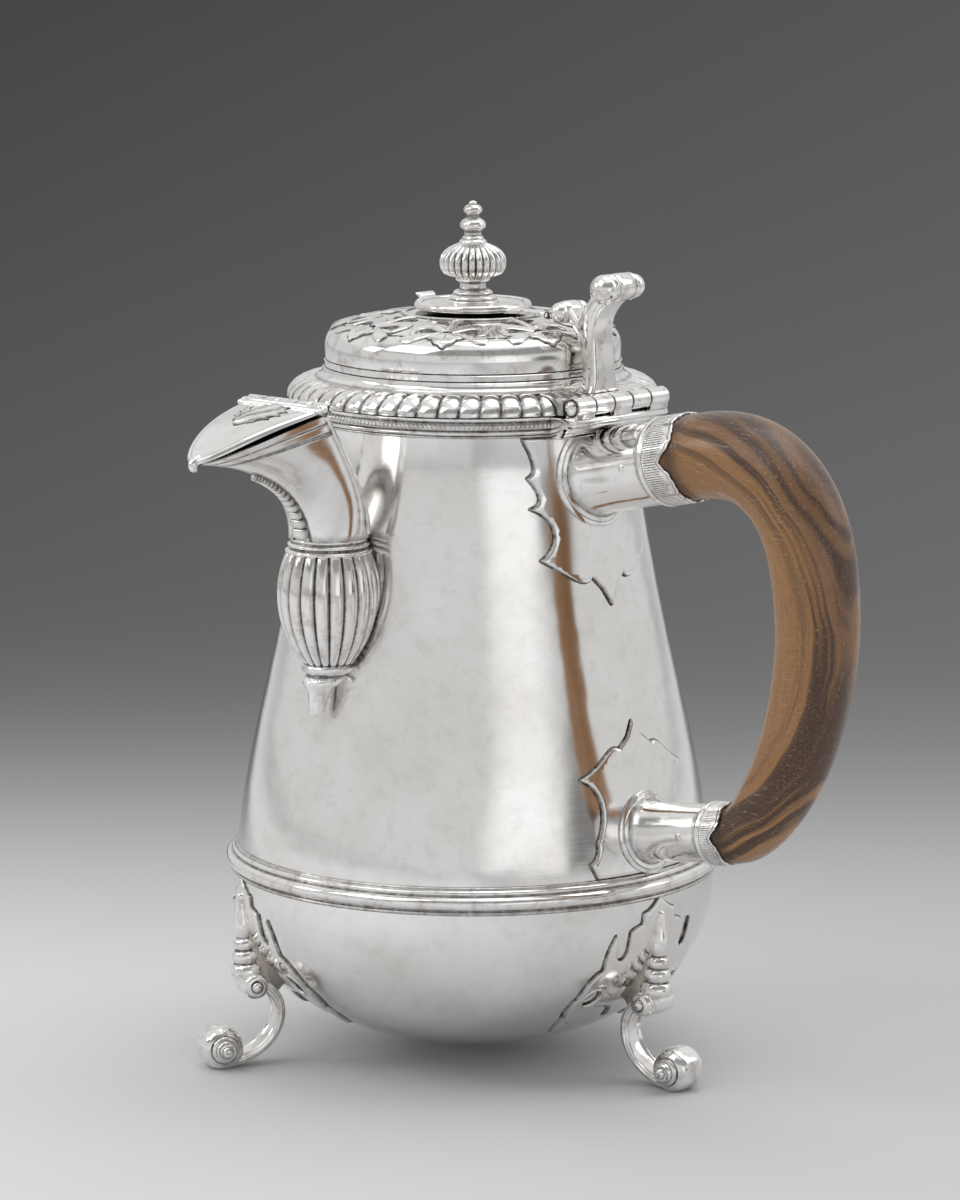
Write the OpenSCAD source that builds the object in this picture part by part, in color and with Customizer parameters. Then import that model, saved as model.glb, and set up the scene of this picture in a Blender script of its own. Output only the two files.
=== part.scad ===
// Pear-shaped silver coffee pot on three scroll feet, with a wooden handle set at
// a right angle to its covered beak spout.  Millimetres, +Z up.  The origin is on
// the floor under the pot's axis; the handle points to +X and the spout to -Y.

/* [Body] */
// Outer radius of the bowl, under the belt
bowl_r = 72.4; // [71:0.2:74]
// Height of the seam between bowl and body above the floor
seam_z = 60.8; // [59:0.2:63]
// Air between the bowl and the floor
bowl_air = 4.5; // [3.5:0.5:7]
// Fullness of the bowl's curve, where 2 is an ellipse
bowl_fullness = 2.15; // [2:0.05:2.3]
// Height of the body from the seam to the rim moulding
body_h = 132; // [128:0.5:136]
// Outer radius of the neck
neck_r = 49.2; // [48:0.1:50.4]
// How far the belly rises before it starts to draw in
belly_rise = 33; // [28:0.5:38]
// How far the straight neck reaches down into the curve
neck_drop = 43; // [38:0.5:48]
// Thickness of the raised sheet
sheet = 1.2; // [0.9:0.1:1.4]
// How far the body laps inside the bowl's edge
lap = 4; // [3:0.5:5]
// How far the belt's bead stands off the bowl
belt_out = 1.8; // [1.2:0.1:2.4]
// Height of the belt moulding
belt_h = 8.2; // [7.4:0.2:9]
// Height of the rim moulding round the mouth
rim_h = 6.6; // [6:0.2:7.2]
// How far the rim moulding stands off the neck
rim_out = 3.8; // [3.4:0.1:4.2]

/* [Lid] */
// How far the gadrooned border stands out beyond the neck
border_out = 6.3; // [5.7:0.1:6.8]
// Height of the gadrooned border
border_h = 5.8; // [5.2:0.1:6.4]
// Number of slanted lobes round the border
border_lobes = 48; // [40:2:52]
// Depth of the grooves between the lobes
border_groove = 0.9; // [0.5:0.1:1.2]
// How far the lid's upright drum is set in from the neck
drum_in = 4.9; // [4.2:0.1:5.6]
// Height of the drum above the border
drum_h = 9; // [8.4:0.2:9.6]
// Height of the rounded shoulder above the drum
shoulder_h = 6; // [5.4:0.2:6.6]
// How far the rounded shoulder draws in to the shallow dome
shoulder_in = 4.3; // [3.5:0.1:4.9]
// Rise of the dome from the shoulder to its centre
dome_rise = 4.8; // [4.4:0.1:5.2]
// How deep the bezel reaches into the mouth
bezel_h = 5.2; // [4:0.2:6]
// Radius of the stirring hole under the finial plate
stir_hole_r = 9.5; // [8.5:0.5:11]
// Largest angle that the lid opens through
lid_open = 78; // [0:1:78]

/* [Finial] */
// Radius of the hinged finial plate
plate_r = 17.5; // [16.5:0.5:18.5]
// Thickness of the finial plate
plate_t = 1.4; // [1.2:0.1:1.7]
// Height of the finial above its plate
finial_h = 30.7; // [29:0.1:32]
// Largest radius of the finial's gadrooned bulb
finial_bulb_r = 9.95; // [9:0.05:10.6]
// Number of lobes round the finial's bulb
finial_lobes = 24; // [16:2:28]
// How far the finial plate's hinge is set in from the dome's edge
plate_hinge_in = 7; // [6.6:0.1:7.6]

/* [Lid hinge] */
// How far the lid's hinge pin lies beyond the border
hinge_out = 2; // [1.5:0.1:2.5]
// Radius of the hinge barrel
barrel_r = 2.9; // [2.6:0.1:3]
// Half of the hinge's length
hinge_half = 20; // [18:0.5:21]
// Radius of the hinge pin
hinge_pin_r = 1.1; // [0.9:0.1:1.3]

/* [Thumbpiece] */
// Width of the thumbpiece's stem
thumb_w = 10; // [8.5:0.5:11]
// Height of the upper scroll's centre above the border
thumb_rise = 30.4; // [29.5:0.1:32]
// Radius of the upper scroll
thumb_roll_r = 4.1; // [3.8:0.1:4.6]
// Radius of the lower scroll beside the finial plate
thumb_low_r = 3.4; // [3:0.1:3.8]

/* [Spout] */
// How far the axis of the fluted bulb lies beyond the neck
bulb_out = 12.3; // [11:0.1:13.8]
// How far the drop under the bulb leans outwards, 0 for a drop that hangs straight
drop_lean = 1; // [0.6:0.1:1.1]
// Largest radius of the fluted bulb
bulb_r = 15.3; // [14.6:0.1:16]
// Height of the bulb's widest ring below the rim of the body
bulb_drop = 52.9; // [52:0.1:54]
// Number of flutes round the bulb
bulb_flutes = 20; // [16:2:24]
// Depth of the grooves between the flutes
flute_groove = 0.9; // [0.5:0.1:1.2]
// Radius of the round collar between the bulb and the neck
collar_r = 11; // [10.4:0.1:11.6]
// Distance from the flap's hinge to the spout's tip
spout_out = 38.2; // [35:0.2:41]
// How far the tip lies below the flap's hinge
spout_dip = 12; // [9:0.5:14]
// How far the spout's edge bows up between hinge and tip
mouth_bow = 3; // [1.5:0.1:3.5]
// Opening between the spout's edge and the flap, half way along
flap_gape = 2.2; // [0.5:0.1:2.6]
// How far the flap's hinge lies beyond the neck
flap_hinge_out = 27.8; // [26:0.1:30]
// Half of the width of the spout's mouth at the hinge
mouth_half = 16.3; // [15:0.1:17.5]
// Thickness of the spout's sheet
spout_sheet = 1.1; // [0.9:0.1:1.3]
// Thickness of the flap at its edge
flap_t = 1.2; // [1:0.1:1.6]
// Height of the flap's dome above its edge
flap_dome = 0.8; // [0.4:0.1:2]
// Radius of the flap's hinge barrel
flap_barrel_r = 1.4; // [1.2:0.1:1.5]
// Radius of the flap's hinge pin
flap_pin_r = 0.6; // [0.5:0.05:0.7]
// Radius of the strainer holes behind the bulb
strain_r = 1.5; // [1:0.1:1.8]

/* [Handle] */
// How far the upper socket's ring lies beyond the neck
upper_out = 28.6; // [26:0.1:31]
// Height of the upper socket's ring below the mouth
upper_drop = 12.4; // [11:0.2:14]
// Upward tilt of the upper socket
upper_tilt = 12; // [9:1:15]
// Outer radius of the upper socket
upper_r = 12.4; // [11.8:0.1:13]
// How far the lower socket's ring lies beyond the bowl
lower_out = 24.8; // [22:0.1:28]
// Height of the lower socket's ring above the seam
lower_rise = 19.1; // [18.1:0.2:20.5]
// Upward tilt of the lower socket
lower_tilt = 7; // [4:1:10]
// Outer radius of the lower socket
lower_r = 8.65; // [8.2:0.05:9.2]
// How far the grip's outermost bend lies beyond the lower socket
grip_out = 36.3; // [32:0.2:40]
// Extra radius of the grip at its upper bend
grip_swell = 0.8; // [0.2:0.1:1.2]
// Wall of both sockets
socket_wall = 1.4; // [1.1:0.1:1.8]
// Length of the tenons inside the sockets
tenon_h = 13; // [10:0.5:14]
// Radius of the pins through sockets and tenons
grip_pin_r = 1.2; // [0.9:0.1:1.5]
// Thickness of the cut-card ornament
card_t = 0.9; // [0.7:0.1:1.1]
// Thickness of the discs under the sockets
disc_t = 1.1; // [0.9:0.1:1.4]
// Length of the ferrules' points along the wood
point_h = 11.4; // [9:0.1:12]
// Height of the leaf-shaped plate under the upper socket, below its centre
upper_card_h = 43.7; // [38:0.1:46]
// Height of the leaf-shaped plate over the lower socket's centre
lower_card_h = 29.5; // [25:0.1:32]

/* [Feet] */
// How far the centre of each toe lies beyond the bowl
toe_out = 7.6; // [6:0.1:10]
// Radius of the rolled toe
toe_r = 6.6; // [6.2:0.1:7]
// Width of the toe's roll
toe_w = 11.4; // [9:0.2:13]
// Worn depth of the flat under each toe
toe_wear = 0.3; // [0.2:0.05:0.5]
// Width of the scroll's strap
strap_w = 7.5; // [6.5:0.5:8.5]
// Thickness of the scroll's strap
strap_t = 3.2; // [2.8:0.1:3.8]
// Height of the ringed spire above the scroll
spire_h = 26; // [22:0.1:28]
// Height of the leaf-shaped plate behind the foot
foot_card_h = 45.2; // [40:0.1:47]
// Angle from the handle to the nearest foot
feet_turn = 2; // [0:1:6]

/* [Fits] */
// Film of solder between pieces joined on curved faces
solder = 0.05; // [0.03:0.01:0.08]
// Air between a moving piece and its rest
rest_gap = 0.3; // [0.25:0.05:0.4]
// Air between a hinge pin and its barrel, all round
pin_gap = 0.04; // [0.03:0.01:0.06]
// Air between the bezel and the mouth, all round
bezel_gap = 0.6; // [0.5:0.05:0.8]

/* [Hidden] */
$fn = 72;
SILVER = "silver";
CAST = "gainsboro";
WOOD = "saddlebrown";

// ---- heights and radii that follow from the driving sizes ----
neck_z = seam_z + body_h;
mouth_z = neck_z + rim_h;
belly_r = bowl_r - sheet - solder;
border_r = neck_r + border_out;
drum_r = neck_r - drum_in;
dome_r = drum_r - shoulder_in;
plate_hinge_x = dome_r - plate_hinge_in;
hinge_x = border_r + hinge_out;
bulb_d = neck_r + bulb_out;
flap_hinge_d = neck_r + flap_hinge_out;
spout_reach = flap_hinge_d + spout_out;
upper_x = neck_r + upper_out;
lower_x = bowl_r + lower_out;
grip_x = lower_x + grip_out;
toe_x = bowl_r + toe_out;
mouth_r = neck_r - sheet;
bowl_centre_z = seam_z - 6.8;
bowl_depth = bowl_centre_z - bowl_air;
lid_z = mouth_z + rest_gap;
border_z = lid_z + border_h;
drum_z = border_z + drum_h;
dome_z = drum_z + shoulder_h;
crown_z = dome_z + dome_rise;
skirt_r = mouth_r - bezel_gap;
plate_z = crown_z - sagitta(dome_ball_r(), stir_hole_r) + rest_gap;
finial_z = plate_z + plate_t;
hinge_z = lid_z + 2.6;
upper_z = mouth_z - upper_drop;
upper_seat_z = upper_z - upper_out * tan(upper_tilt);
lower_seat_z = seam_z + lower_rise - 0.4;
lower_z = seam_z + lower_rise;
bulb_z = mouth_z - bulb_drop;
collar_z = bulb_z + 12.6;
neck_base_z = collar_z + 4.4;
flap_hinge_z = mouth_z + 4.7;
toe_z = toe_r - toe_wear;

// ---- curves ----
function bez(p, t) = pow(1 - t, 3) * p[0] + 3 * pow(1 - t, 2) * t * p[1]
    + 3 * (1 - t) * t * t * p[2] + pow(t, 3) * p[3];
function bez_dir(p, t) = 3 * pow(1 - t, 2) * (p[1] - p[0]) + 6 * (1 - t) * t * (p[2] - p[1])
    + 3 * t * t * (p[3] - p[2]);
function bez_line(p, n, from = 0, to = 1) = [for (i = [0:n]) bez(p, from + (to - from) * i / n)];
function arc(c, r, a0, a1, n) =
    [for (i = [0:n]) c + r * [cos(a0 + (a1 - a0) * i / n), sin(a0 + (a1 - a0) * i / n)]];
function backwards(list) = [for (i = [len(list) - 1:-1:0]) list[i]];
function mix(a, b, t) = a + (b - a) * t;
function sagitta(ball, r) = ball - sqrt(ball * ball - r * r);
function unit(v) = v / norm(v);
// Parameter at which a rising profile curve reaches height z, found by halving.
function reach(p, z, lo = 0, hi = 1, n = 20) = n == 0 ? (lo + hi) / 2
    : bez(p, (lo + hi) / 2)[1] < z ? reach(p, z, (lo + hi) / 2, hi, n - 1)
    : reach(p, z, lo, (lo + hi) / 2, n - 1);

// ---- the two profiles that everything outside the pot is seated on ----
PEAR = [[belly_r, seam_z], [belly_r - 0.3, seam_z + belly_rise],
    [neck_r - 0.2, neck_z - neck_drop], [neck_r, neck_z]];
function body_r(z) = z <= seam_z ? belly_r : z >= neck_z ? neck_r : bez(PEAR, reach(PEAR, z))[0];
function dome_ball_r() = (dome_r * dome_r + dome_rise * dome_rise) / (2 * dome_rise);
function dome_at(r) = crown_z - sagitta(dome_ball_r(), r);
// Bowl profile: u = 0 at the bottom of the bowl, u = 90 at its upright edge.
function bowl_point(u, out = 0) = [(bowl_r + out) * pow(sin(u), 2 / bowl_fullness),
    bowl_centre_z - (bowl_depth + out) * pow(cos(u), 2 / bowl_fullness)];
bowl_step = 5;
function bowl_line(out) = [for (u = [0:bowl_step:90]) bowl_point(u, out)];

// ---- surfaces ----
// Skin over equal loops of points, which run anticlockwise seen from the last loop.  A closed skin joins
// its last loop to its first.  Otherwise the ends are capped, round their middles or as a strip.
module skin(loops, closed = false, strip = false) {
    n = len(loops[0]);
    m = len(loops);
    last = (m - 1) * n;
    walls = [for (i = [0:m - (closed ? 1 : 2)], j = [0:n - 1])
        let (a = i * n + j, b = i * n + (j + 1) % n, c = ((i + 1) % m) * n + (j + 1) % n, d = ((i + 1) % m) * n + j)
        each [[a, c, b], [a, d, c]]];
    caps = closed ? []
        : strip ? [for (j = [0:n / 2 - 2]) each [[j, n - 2 - j, n - 1 - j], [j, j + 1, n - 2 - j],
            [last + j, last + n - 2 - j, last + j + 1], [last + j, last + n - 1 - j, last + n - 2 - j]]]
        : [for (j = [0:n - 1]) each [[m * n, j, (j + 1) % n], [last + (j + 1) % n, last + j, m * n + 1]]];
    middles = closed || strip ? [] : [middle(loops[0]), middle(loops[m - 1])];
    polyhedron(concat([for (loop = loops) each loop], middles), concat(walls, caps), convexity = 6);
}
function middle(loop) = [for (p = loop) 1] * loop / len(loop);
// Ring of a lobed or fluted piece, with sharp grooves between its rounded lobes.
function lobed(r, groove, lobes, cols, z, turn = 0) = [for (i = [0:lobes * cols - 1])
    let (a = 360 * i / (lobes * cols), q = r - groove * (1 - abs(sin(lobes * a / 2))))
    [q * cos(a + turn), q * sin(a + turn), z]];
module lathe(points) rotate_extrude() polygon(points);
// The solid pear, grown outwards, which trims whatever is seated on the body.
module body_core(out, z0, z1, n = 12) {
    side = [for (i = [0:n]) let (z = mix(z0, z1, i / n)) [body_r(z) + out, z]];
    lathe(concat([[0, z0]], side, [[0, z1]]));
}
// A skin of constant thickness lying on the body between two heights.
module body_skin(z0, z1, from, to, n = 12) {
    zs = [for (i = [0:n]) mix(z0, z1, i / n)];
    lathe(concat([for (z = zs) [body_r(z) + to, z]], [for (z = backwards(zs)) [body_r(z) + from, z]]));
}
// Carries a drawing made in (sideways, up) out towards the handle.
module towards_handle(from, to) translate([from, 0, 0]) rotate([90, 0, 90]) linear_extrude(to - from) children();
// Both halves of an outline that is symmetrical about the vertical.
module mirrored(half) polygon(concat(half, [for (p = backwards(half)) [-p[0], p[1]]]));

// ================= body =================
module body_wall() color(SILVER) difference() {
    lathe(concat([[belly_r, seam_z - lap]], bez_line(PEAR, 32), [[neck_r, mouth_z], [mouth_r, mouth_z]],
        [for (p = bez_line(PEAR, 32, 1, 0)) p - [sheet, 0]], [[belly_r - sheet, seam_z - lap]]));
    strainer_holes();
}
// Rows of small holes let the drink into the spout and hold the grounds back.
module strainer_holes() {
    pitch = 2 * strain_r + 1.6;
    for (row = [-2:2], k = [0:4 - abs(row)])
        translate([(k - (4 - abs(row)) / 2) * pitch, -body_r(bulb_z) + 6, bulb_z + row * pitch * 0.87])
            rotate([90, 0, 0]) cylinder(r = strain_r, h = 12);
}
module bowl() color(SILVER)
    lathe(concat(bowl_line(0), [[bowl_r, seam_z], [bowl_r - sheet, seam_z]], backwards(bowl_line(-sheet))));

module belt_moulding() color(SILVER) {
    z0 = seam_z - belt_h / 2;
    bead = belt_h * 0.32;
    lathe(concat([[bowl_r + solder, z0]],
        arc([bowl_r + solder + 0.4, z0 + 0.5], 0.5, -60, 80, 4),
        arc([bowl_r + belt_out - bead * 0.72, z0 + 1.1 + bead], bead * 0.72, -75, 75, 8) ,
        arc([belly_r + solder + 1.1, z0 + belt_h - 0.9], 0.9, -60, 90, 5),
        [[belly_r + solder, z0 + belt_h], [belly_r + solder, seam_z], [bowl_r + solder, seam_z]]));
}
module rim_moulding() color(SILVER) {
    bead = 1.15;
    lathe(concat([[neck_r + solder, neck_z]],
        arc([neck_r + rim_out - 2.6, neck_z + bead], bead, -80, 80, 6),
        [[neck_r + rim_out - 2.3, neck_z + 2.5], [neck_r + rim_out - 1.2, neck_z + 2.7]],
        arc([neck_r + rim_out - 1.5, neck_z + 3.8], 1.15, -60, 60, 4),
        [[neck_r + rim_out - 1.2, neck_z + 5.1], [neck_r + rim_out - 0.5, neck_z + 5.4]],
        [[neck_r + rim_out, mouth_z - 0.7], [neck_r + rim_out - 0.2, mouth_z], [neck_r + solder, mouth_z]]));
}

// ================= lid hinge =================
knuckles = 5;
knuckle_pitch = 2 * hinge_half / knuckles;
module along_y(y0, y1, r) translate([0, y0, 0]) rotate([-90, 0, 0]) cylinder(r = r, h = y1 - y0);
// Moulded seat under the barrel, trimmed to the rim moulding that it is soldered to.
module hinge_bracket() color(CAST) difference() {
    out = hinge_x + barrel_r - 0.6;
    rotate([90, 0, 0]) linear_extrude(2 * hinge_half, center = true)
        polygon(concat([[neck_r, bracket_top()], [neck_r, neck_z + solder], [neck_r + rim_out + 1, neck_z + solder]],
            arc([out - 6.5, bracket_top() - 4.3], 1, -70, 60, 4), arc([out - 4, bracket_top() - 2.9], 1, -70, 60, 4),
            arc([out - 1.1, bracket_top() - 1.1], 1.1, -80, 90, 5)));
    lathe([[0, neck_z - 10], [body_r(neck_z - 10) + solder, neck_z - 10], [neck_r + solder, neck_z - solder],
        [neck_r + rim_out + solder, neck_z - solder], [neck_r + rim_out + solder, mouth_z + 1], [0, mouth_z + 1]]);
    at_upper() translate([0, 0, -upper_out]) cylinder(r = upper_r + socket_bead + solder, h = 2 * upper_out);
}
function bracket_top() = hinge_z - barrel_r - rest_gap;
module body_hinge_knuckles() color(CAST) difference() {
    for (k = [0, 2, 4]) translate([hinge_x, 0, hinge_z]) {
        y0 = -hinge_half + k * knuckle_pitch + (k > 0 ? rest_gap / 2 : 0);
        y1 = -hinge_half + (k + 1) * knuckle_pitch - (k < 4 ? rest_gap / 2 : 0);
        along_y(y0, y1, barrel_r);
        translate([-barrel_r + 0.4, y0, -barrel_r - rest_gap]) cube([2 * barrel_r - 0.8, y1 - y0, barrel_r]);
    }
    translate([hinge_x, 0, hinge_z]) along_y(-hinge_half - 1, hinge_half + 1, hinge_pin_r + pin_gap);
}
module lid_hinge_pin() color(CAST) translate([hinge_x, 0, hinge_z]) {
    head = hinge_pin_r + 1;
    along_y(-hinge_half - 0.4, hinge_half + 0.4, hinge_pin_r);
    for (side = [-1, 1]) scale([1, side, 1]) intersection() {
        translate([0, hinge_half - 1.4, 0]) sphere(r = head + 0.5);
        along_y(hinge_half + solder, hinge_half + 4, head);
    }
}
// Leaf that carries the lid's knuckles, set into the border behind the barrel.
module lid_hinge_leaf() color(CAST) difference() {
    union() {
        difference() {
            rotate([90, 0, 0]) linear_extrude(2 * hinge_half, center = true)
                polygon([[drum_r, lid_z], [hinge_x, lid_z], [hinge_x, hinge_z + barrel_r - 0.5], leaf_edge, [drum_r, border_z]]);
            translate([0, 0, lid_z - 1]) cylinder(r = skirt_r + solder, h = border_h + 3);
            for (k = [0:knuckles - 1]) knuckle_room(k, k % 2 == 0 ? rest_gap : 0);
        }
        for (k = [1, 3]) translate([hinge_x, 0, hinge_z])
            along_y(-hinge_half + k * knuckle_pitch + rest_gap / 2, -hinge_half + (k + 1) * knuckle_pitch - rest_gap / 2,
                barrel_r);
    }
    translate([hinge_x, 0, hinge_z]) along_y(-hinge_half - 1, hinge_half + 1, hinge_pin_r + pin_gap);
}
leaf_edge = [hinge_x - barrel_r - 1, hinge_z + barrel_r - 0.4];
function leaf_top(x) = mix(border_z, leaf_edge[1], (x - drum_r) / (leaf_edge[0] - drum_r));
// Room cut from the leaf: a full slot for a body knuckle, or only the barrel's far side for a lid knuckle.
module knuckle_room(k, air) {
    y0 = -hinge_half + k * knuckle_pitch - rest_gap / 2;
    translate([air > 0 ? hinge_x - barrel_r - air : hinge_x, y0 - (k == 0 ? 1 : 0), lid_z - 2])
        cube([barrel_r * 3, knuckle_pitch + rest_gap + (k == 0 || k == knuckles - 1 ? 1 : 0), 12]);
}

// ================= lid =================
LID_SIDE = concat([[skirt_r, lid_z], [skirt_r, border_z], [drum_r + 2.2, border_z + 0.3]],
    bez_line([[drum_r + 2.2, border_z + 0.3], [drum_r + 0.9, border_z + 0.8], [drum_r + 0.5, border_z + 1.6],
        [drum_r + 0.5, border_z + 2.8]], 5),
    [[drum_r + 0.1, border_z + 3.1], [drum_r + 0.1, border_z + 4.8], [drum_r - 0.3, border_z + 5.1],
        [drum_r, border_z + 5.4], [drum_r, drum_z]],
    bez_line([[drum_r, drum_z], [drum_r, drum_z + 3], [dome_r + 2, dome_z - 0.4], [dome_r, dome_z - 0.2]], 8),
    [[dome_r - 0.4, dome_z + 0.15]]);
DOME_TOP = [for (i = [0:10]) let (r = mix(dome_r - 0.9, stir_hole_r, i / 10)) [r, dome_at(r)]];
module lid_dome() color(SILVER)
    lathe(concat(LID_SIDE, DOME_TOP, backwards([for (p = DOME_TOP) p - [0, sheet]]),
        [[dome_r - sheet, dome_z - sheet - 0.4], [drum_r - sheet - 0.5, drum_z],
            [drum_r - sheet - 0.5, border_z + 1.5], [skirt_r - sheet, border_z - 1.5], [skirt_r - sheet, lid_z]]));

// Border of slanted gadroons, cut away where the hinge leaf is set in.
module lid_border() color(SILVER) difference() {
    cols = 5;
    slant = 1.3;
    depth = border_r - skirt_r - 0.6;
    skin([for (i = [0:border_lobes * cols - 1]) let (a = 360 * i / (border_lobes * cols))
        [for (p = backwards(concat([[skirt_r + solder, 0], [border_r - border_groove - 0.5, 0]],
            [for (j = [0:4]) let (u = 14 + 76 * j / 4, dent = 1 - abs(sin(border_lobes * (a + slant * j) / 2)),
                g = border_groove * dent)
                [skirt_r + 0.6 + (depth - g) * cos(u), (border_h - g) * sin(u)]],
            [[skirt_r + solder, border_h - border_groove]]))) turned(p, a, lid_z)]], closed = true);
    translate([drum_r, -hinge_half - rest_gap, lid_z - 1])
        cube([border_r, 2 * (hinge_half + rest_gap), border_h + 2]);
}
// Point of a profile carried round the axis to angle a.
function turned(p, a, z) = [p[0] * cos(a), p[0] * sin(a), z + p[1]];

module lid_bezel() color(SILVER)
    lathe([[skirt_r, lid_z], [skirt_r, lid_z - bezel_h + 0.6], [skirt_r - 0.5, lid_z - bezel_h],
        [skirt_r - sheet, lid_z - bezel_h], [skirt_r - sheet, lid_z]]);

// Cut-card ornament on the dome: alternating three-lobed leaves and paired scrolls round a band.
card_band_r = plate_r + 2.6;
card_edge_r = dome_r - 1.6;
module lid_cut_card() color(SILVER) intersection() {
    rs = [for (i = [0:8]) mix(card_edge_r, card_band_r - 0.5, i / 8)];
    lathe(concat([for (r = rs) [r, dome_at(r) + solder + card_t]], [for (r = backwards(rs)) [r, dome_at(r) + solder]]));
    translate([0, 0, drum_z]) linear_extrude(2 * shoulder_h + dome_rise) {
        difference() {
            circle(r = card_band_r + 2.4);
            circle(r = card_band_r);
        }
        for (k = [0:3]) rotate(90 * k) {
            card_leaf();
            rotate(45) card_scrolls();
        }
    }
}
module card_leaf() {
    reach = card_edge_r - 4;
    translate([reach, 0]) circle(r = 3.8);
    for (side = [-1, 1]) {
        translate([reach - 5.5, side * 6.2]) circle(r = 4);
        translate([reach - 9, side * 3.6]) circle(r = 3.4);
    }
    translate([card_band_r + 1, -3.2]) square([reach - card_band_r, 6.4]);
}
module card_scrolls() for (side = [-1, 1]) scale_y(side) {
    translate([card_band_r + 6.2, 6.8]) difference() {
        circle(r = 5.2);
        circle(r = 2.1);
    }
    translate([card_band_r + 11.4, 3.4]) circle(r = 2.6);
    translate([card_band_r + 1, -0.1]) square([11, 3.2]);
}
module scale_y(side) mirror([0, side < 0 ? 1 : 0, 0]) children();

// ================= thumbpiece and finial plate =================
low_roll = [plate_hinge_x + 1.3 + solder + thumb_low_r + 0.9, plate_z + 0.6 + thumb_low_r * 0.4];
high_roll = [hinge_x + 0.3, border_z + thumb_rise];
plate_pin_r = 0.55;
plate_eye_r = 1.3;
plate_hinge_z = plate_z + 0.75;
// Cast bracket standing on the hinge leaf, bent over the lid's shoulder to the finial plate.
module thumbpiece() color(CAST) {
    front = leaf_edge[0] - 0.2;
    wall_x = skirt_r + 0.3;
    foot_z = leaf_top(front) + solder;
    difference() {
        union() {
            rotate([90, 0, 0]) linear_extrude(thumb_w, center = true) polygon(concat(
                [[wall_x, leaf_top(wall_x) + solder], [front, foot_z], [front - 0.2, foot_z + 3]],
                bez_line([[front - 0.4, foot_z + 7], [front - 2.2, foot_z + 16], [front - 4, foot_z + 22],
                    [high_roll[0] + thumb_roll_r * 0.6, high_roll[1] - thumb_roll_r * 0.8]], 8),
                [high_roll, [high_roll[0] - thumb_roll_r * 0.7, high_roll[1] + thumb_roll_r * 0.7]],
                bez_line([[high_roll[0] - thumb_roll_r, high_roll[1]], [high_roll[0] - 7, high_roll[1] - 5],
                    [wall_x + 1, dome_z + 9], [low_roll[0], low_roll[1] + thumb_low_r]], 8),
                [low_roll, [low_roll[0] + thumb_low_r, low_roll[1]]],
                bez_line([[dome_r + 0.8, dome_at(dome_r) + 1.4], [drum_r + 1.6, dome_z + 0.5],
                    [drum_r + 2.4, drum_z + 2], [drum_r + 1.8, drum_z - 1]], 6)));
            translate([high_roll[0], 0, high_roll[1]]) roll(thumb_roll_r, thumb_w);
            translate([low_roll[0], 0, low_roll[1]]) roll(thumb_low_r, thumb_w * 0.7);
            for (side = [-1, 1]) translate([0, side * (plate_eye_w() + rest_gap) - plate_eye_w() / 2, 0]) plate_eye(low_roll);
        }
        translate([plate_hinge_x, 0, plate_hinge_z]) along_y(-10, 10, plate_pin_r + pin_gap);
    }
}
function plate_eye_w() = thumb_w * 0.22;
// A rolled end with a ball on each side.
module roll(r, w) {
    rotate([90, 0, 0]) cylinder(r = r, h = w, center = true);
    for (side = [-1, 1]) translate([0, side * w / 2, 0]) sphere(r = r * 0.86);
}
// One eye of the finial plate's hinge with the web that carries it.
module plate_eye(to) {
    translate([plate_hinge_x, 0, plate_hinge_z]) along_y(0, plate_eye_w(), plate_eye_r);
    translate([plate_hinge_x, 0, plate_hinge_z - plate_eye_r * 0.5])
        cube([to[0] - plate_hinge_x, plate_eye_w(), plate_eye_r]);
}
module plate_hinge_pin() color(CAST) translate([plate_hinge_x, 0, plate_hinge_z])
    along_y(-1.5 * plate_eye_w() - rest_gap - 0.4, 1.5 * plate_eye_w() + rest_gap + 0.4, plate_pin_r);

finial_stem_r = 2;
module finial_plate() color(SILVER) {
    difference() {
        union() {
            lathe([[finial_stem_r + solder, plate_z], [plate_r - 0.5, plate_z], [plate_r, plate_z + 0.5],
                [plate_r, plate_z + plate_t + 0.6], [plate_r - 0.6, plate_z + plate_t + 1],
                [plate_r - 1.8, plate_z + plate_t + 0.7], [plate_r - 2.6, plate_z + plate_t],
                [finial_stem_r + solder, plate_z + plate_t]]);
            translate([-plate_r - 2.2, 0, plate_z + 0.6]) rotate([0, 90, 0]) plate_lug();
            translate([plate_r - 1, -plate_eye_w() * 0.9, plate_z])
                cube([plate_hinge_x - plate_r - 0.6 - plate_eye_r, plate_eye_w() * 1.8, plate_t]);
            translate([plate_r - 1, -plate_eye_w() / 2, plate_z])
                cube([plate_hinge_x - plate_r + 1, plate_eye_w(), plate_t]);
            translate([plate_hinge_x, 0, plate_hinge_z]) along_y(-plate_eye_w() / 2, plate_eye_w() / 2, plate_eye_r);
        }
        translate([plate_hinge_x, 0, plate_hinge_z]) along_y(-5, 5, plate_pin_r + pin_gap);
    }
}
// Thumb lug opposite the hinge, a small rolled lip.
module plate_lug() translate([-1.4, 0, 0]) {
    rotate([90, 0, 0]) cylinder(r = 1.5, h = 7, center = true);
    translate([-0.2, -3.5, 0]) cube([1.6, 7, 3.4]);
}
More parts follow.
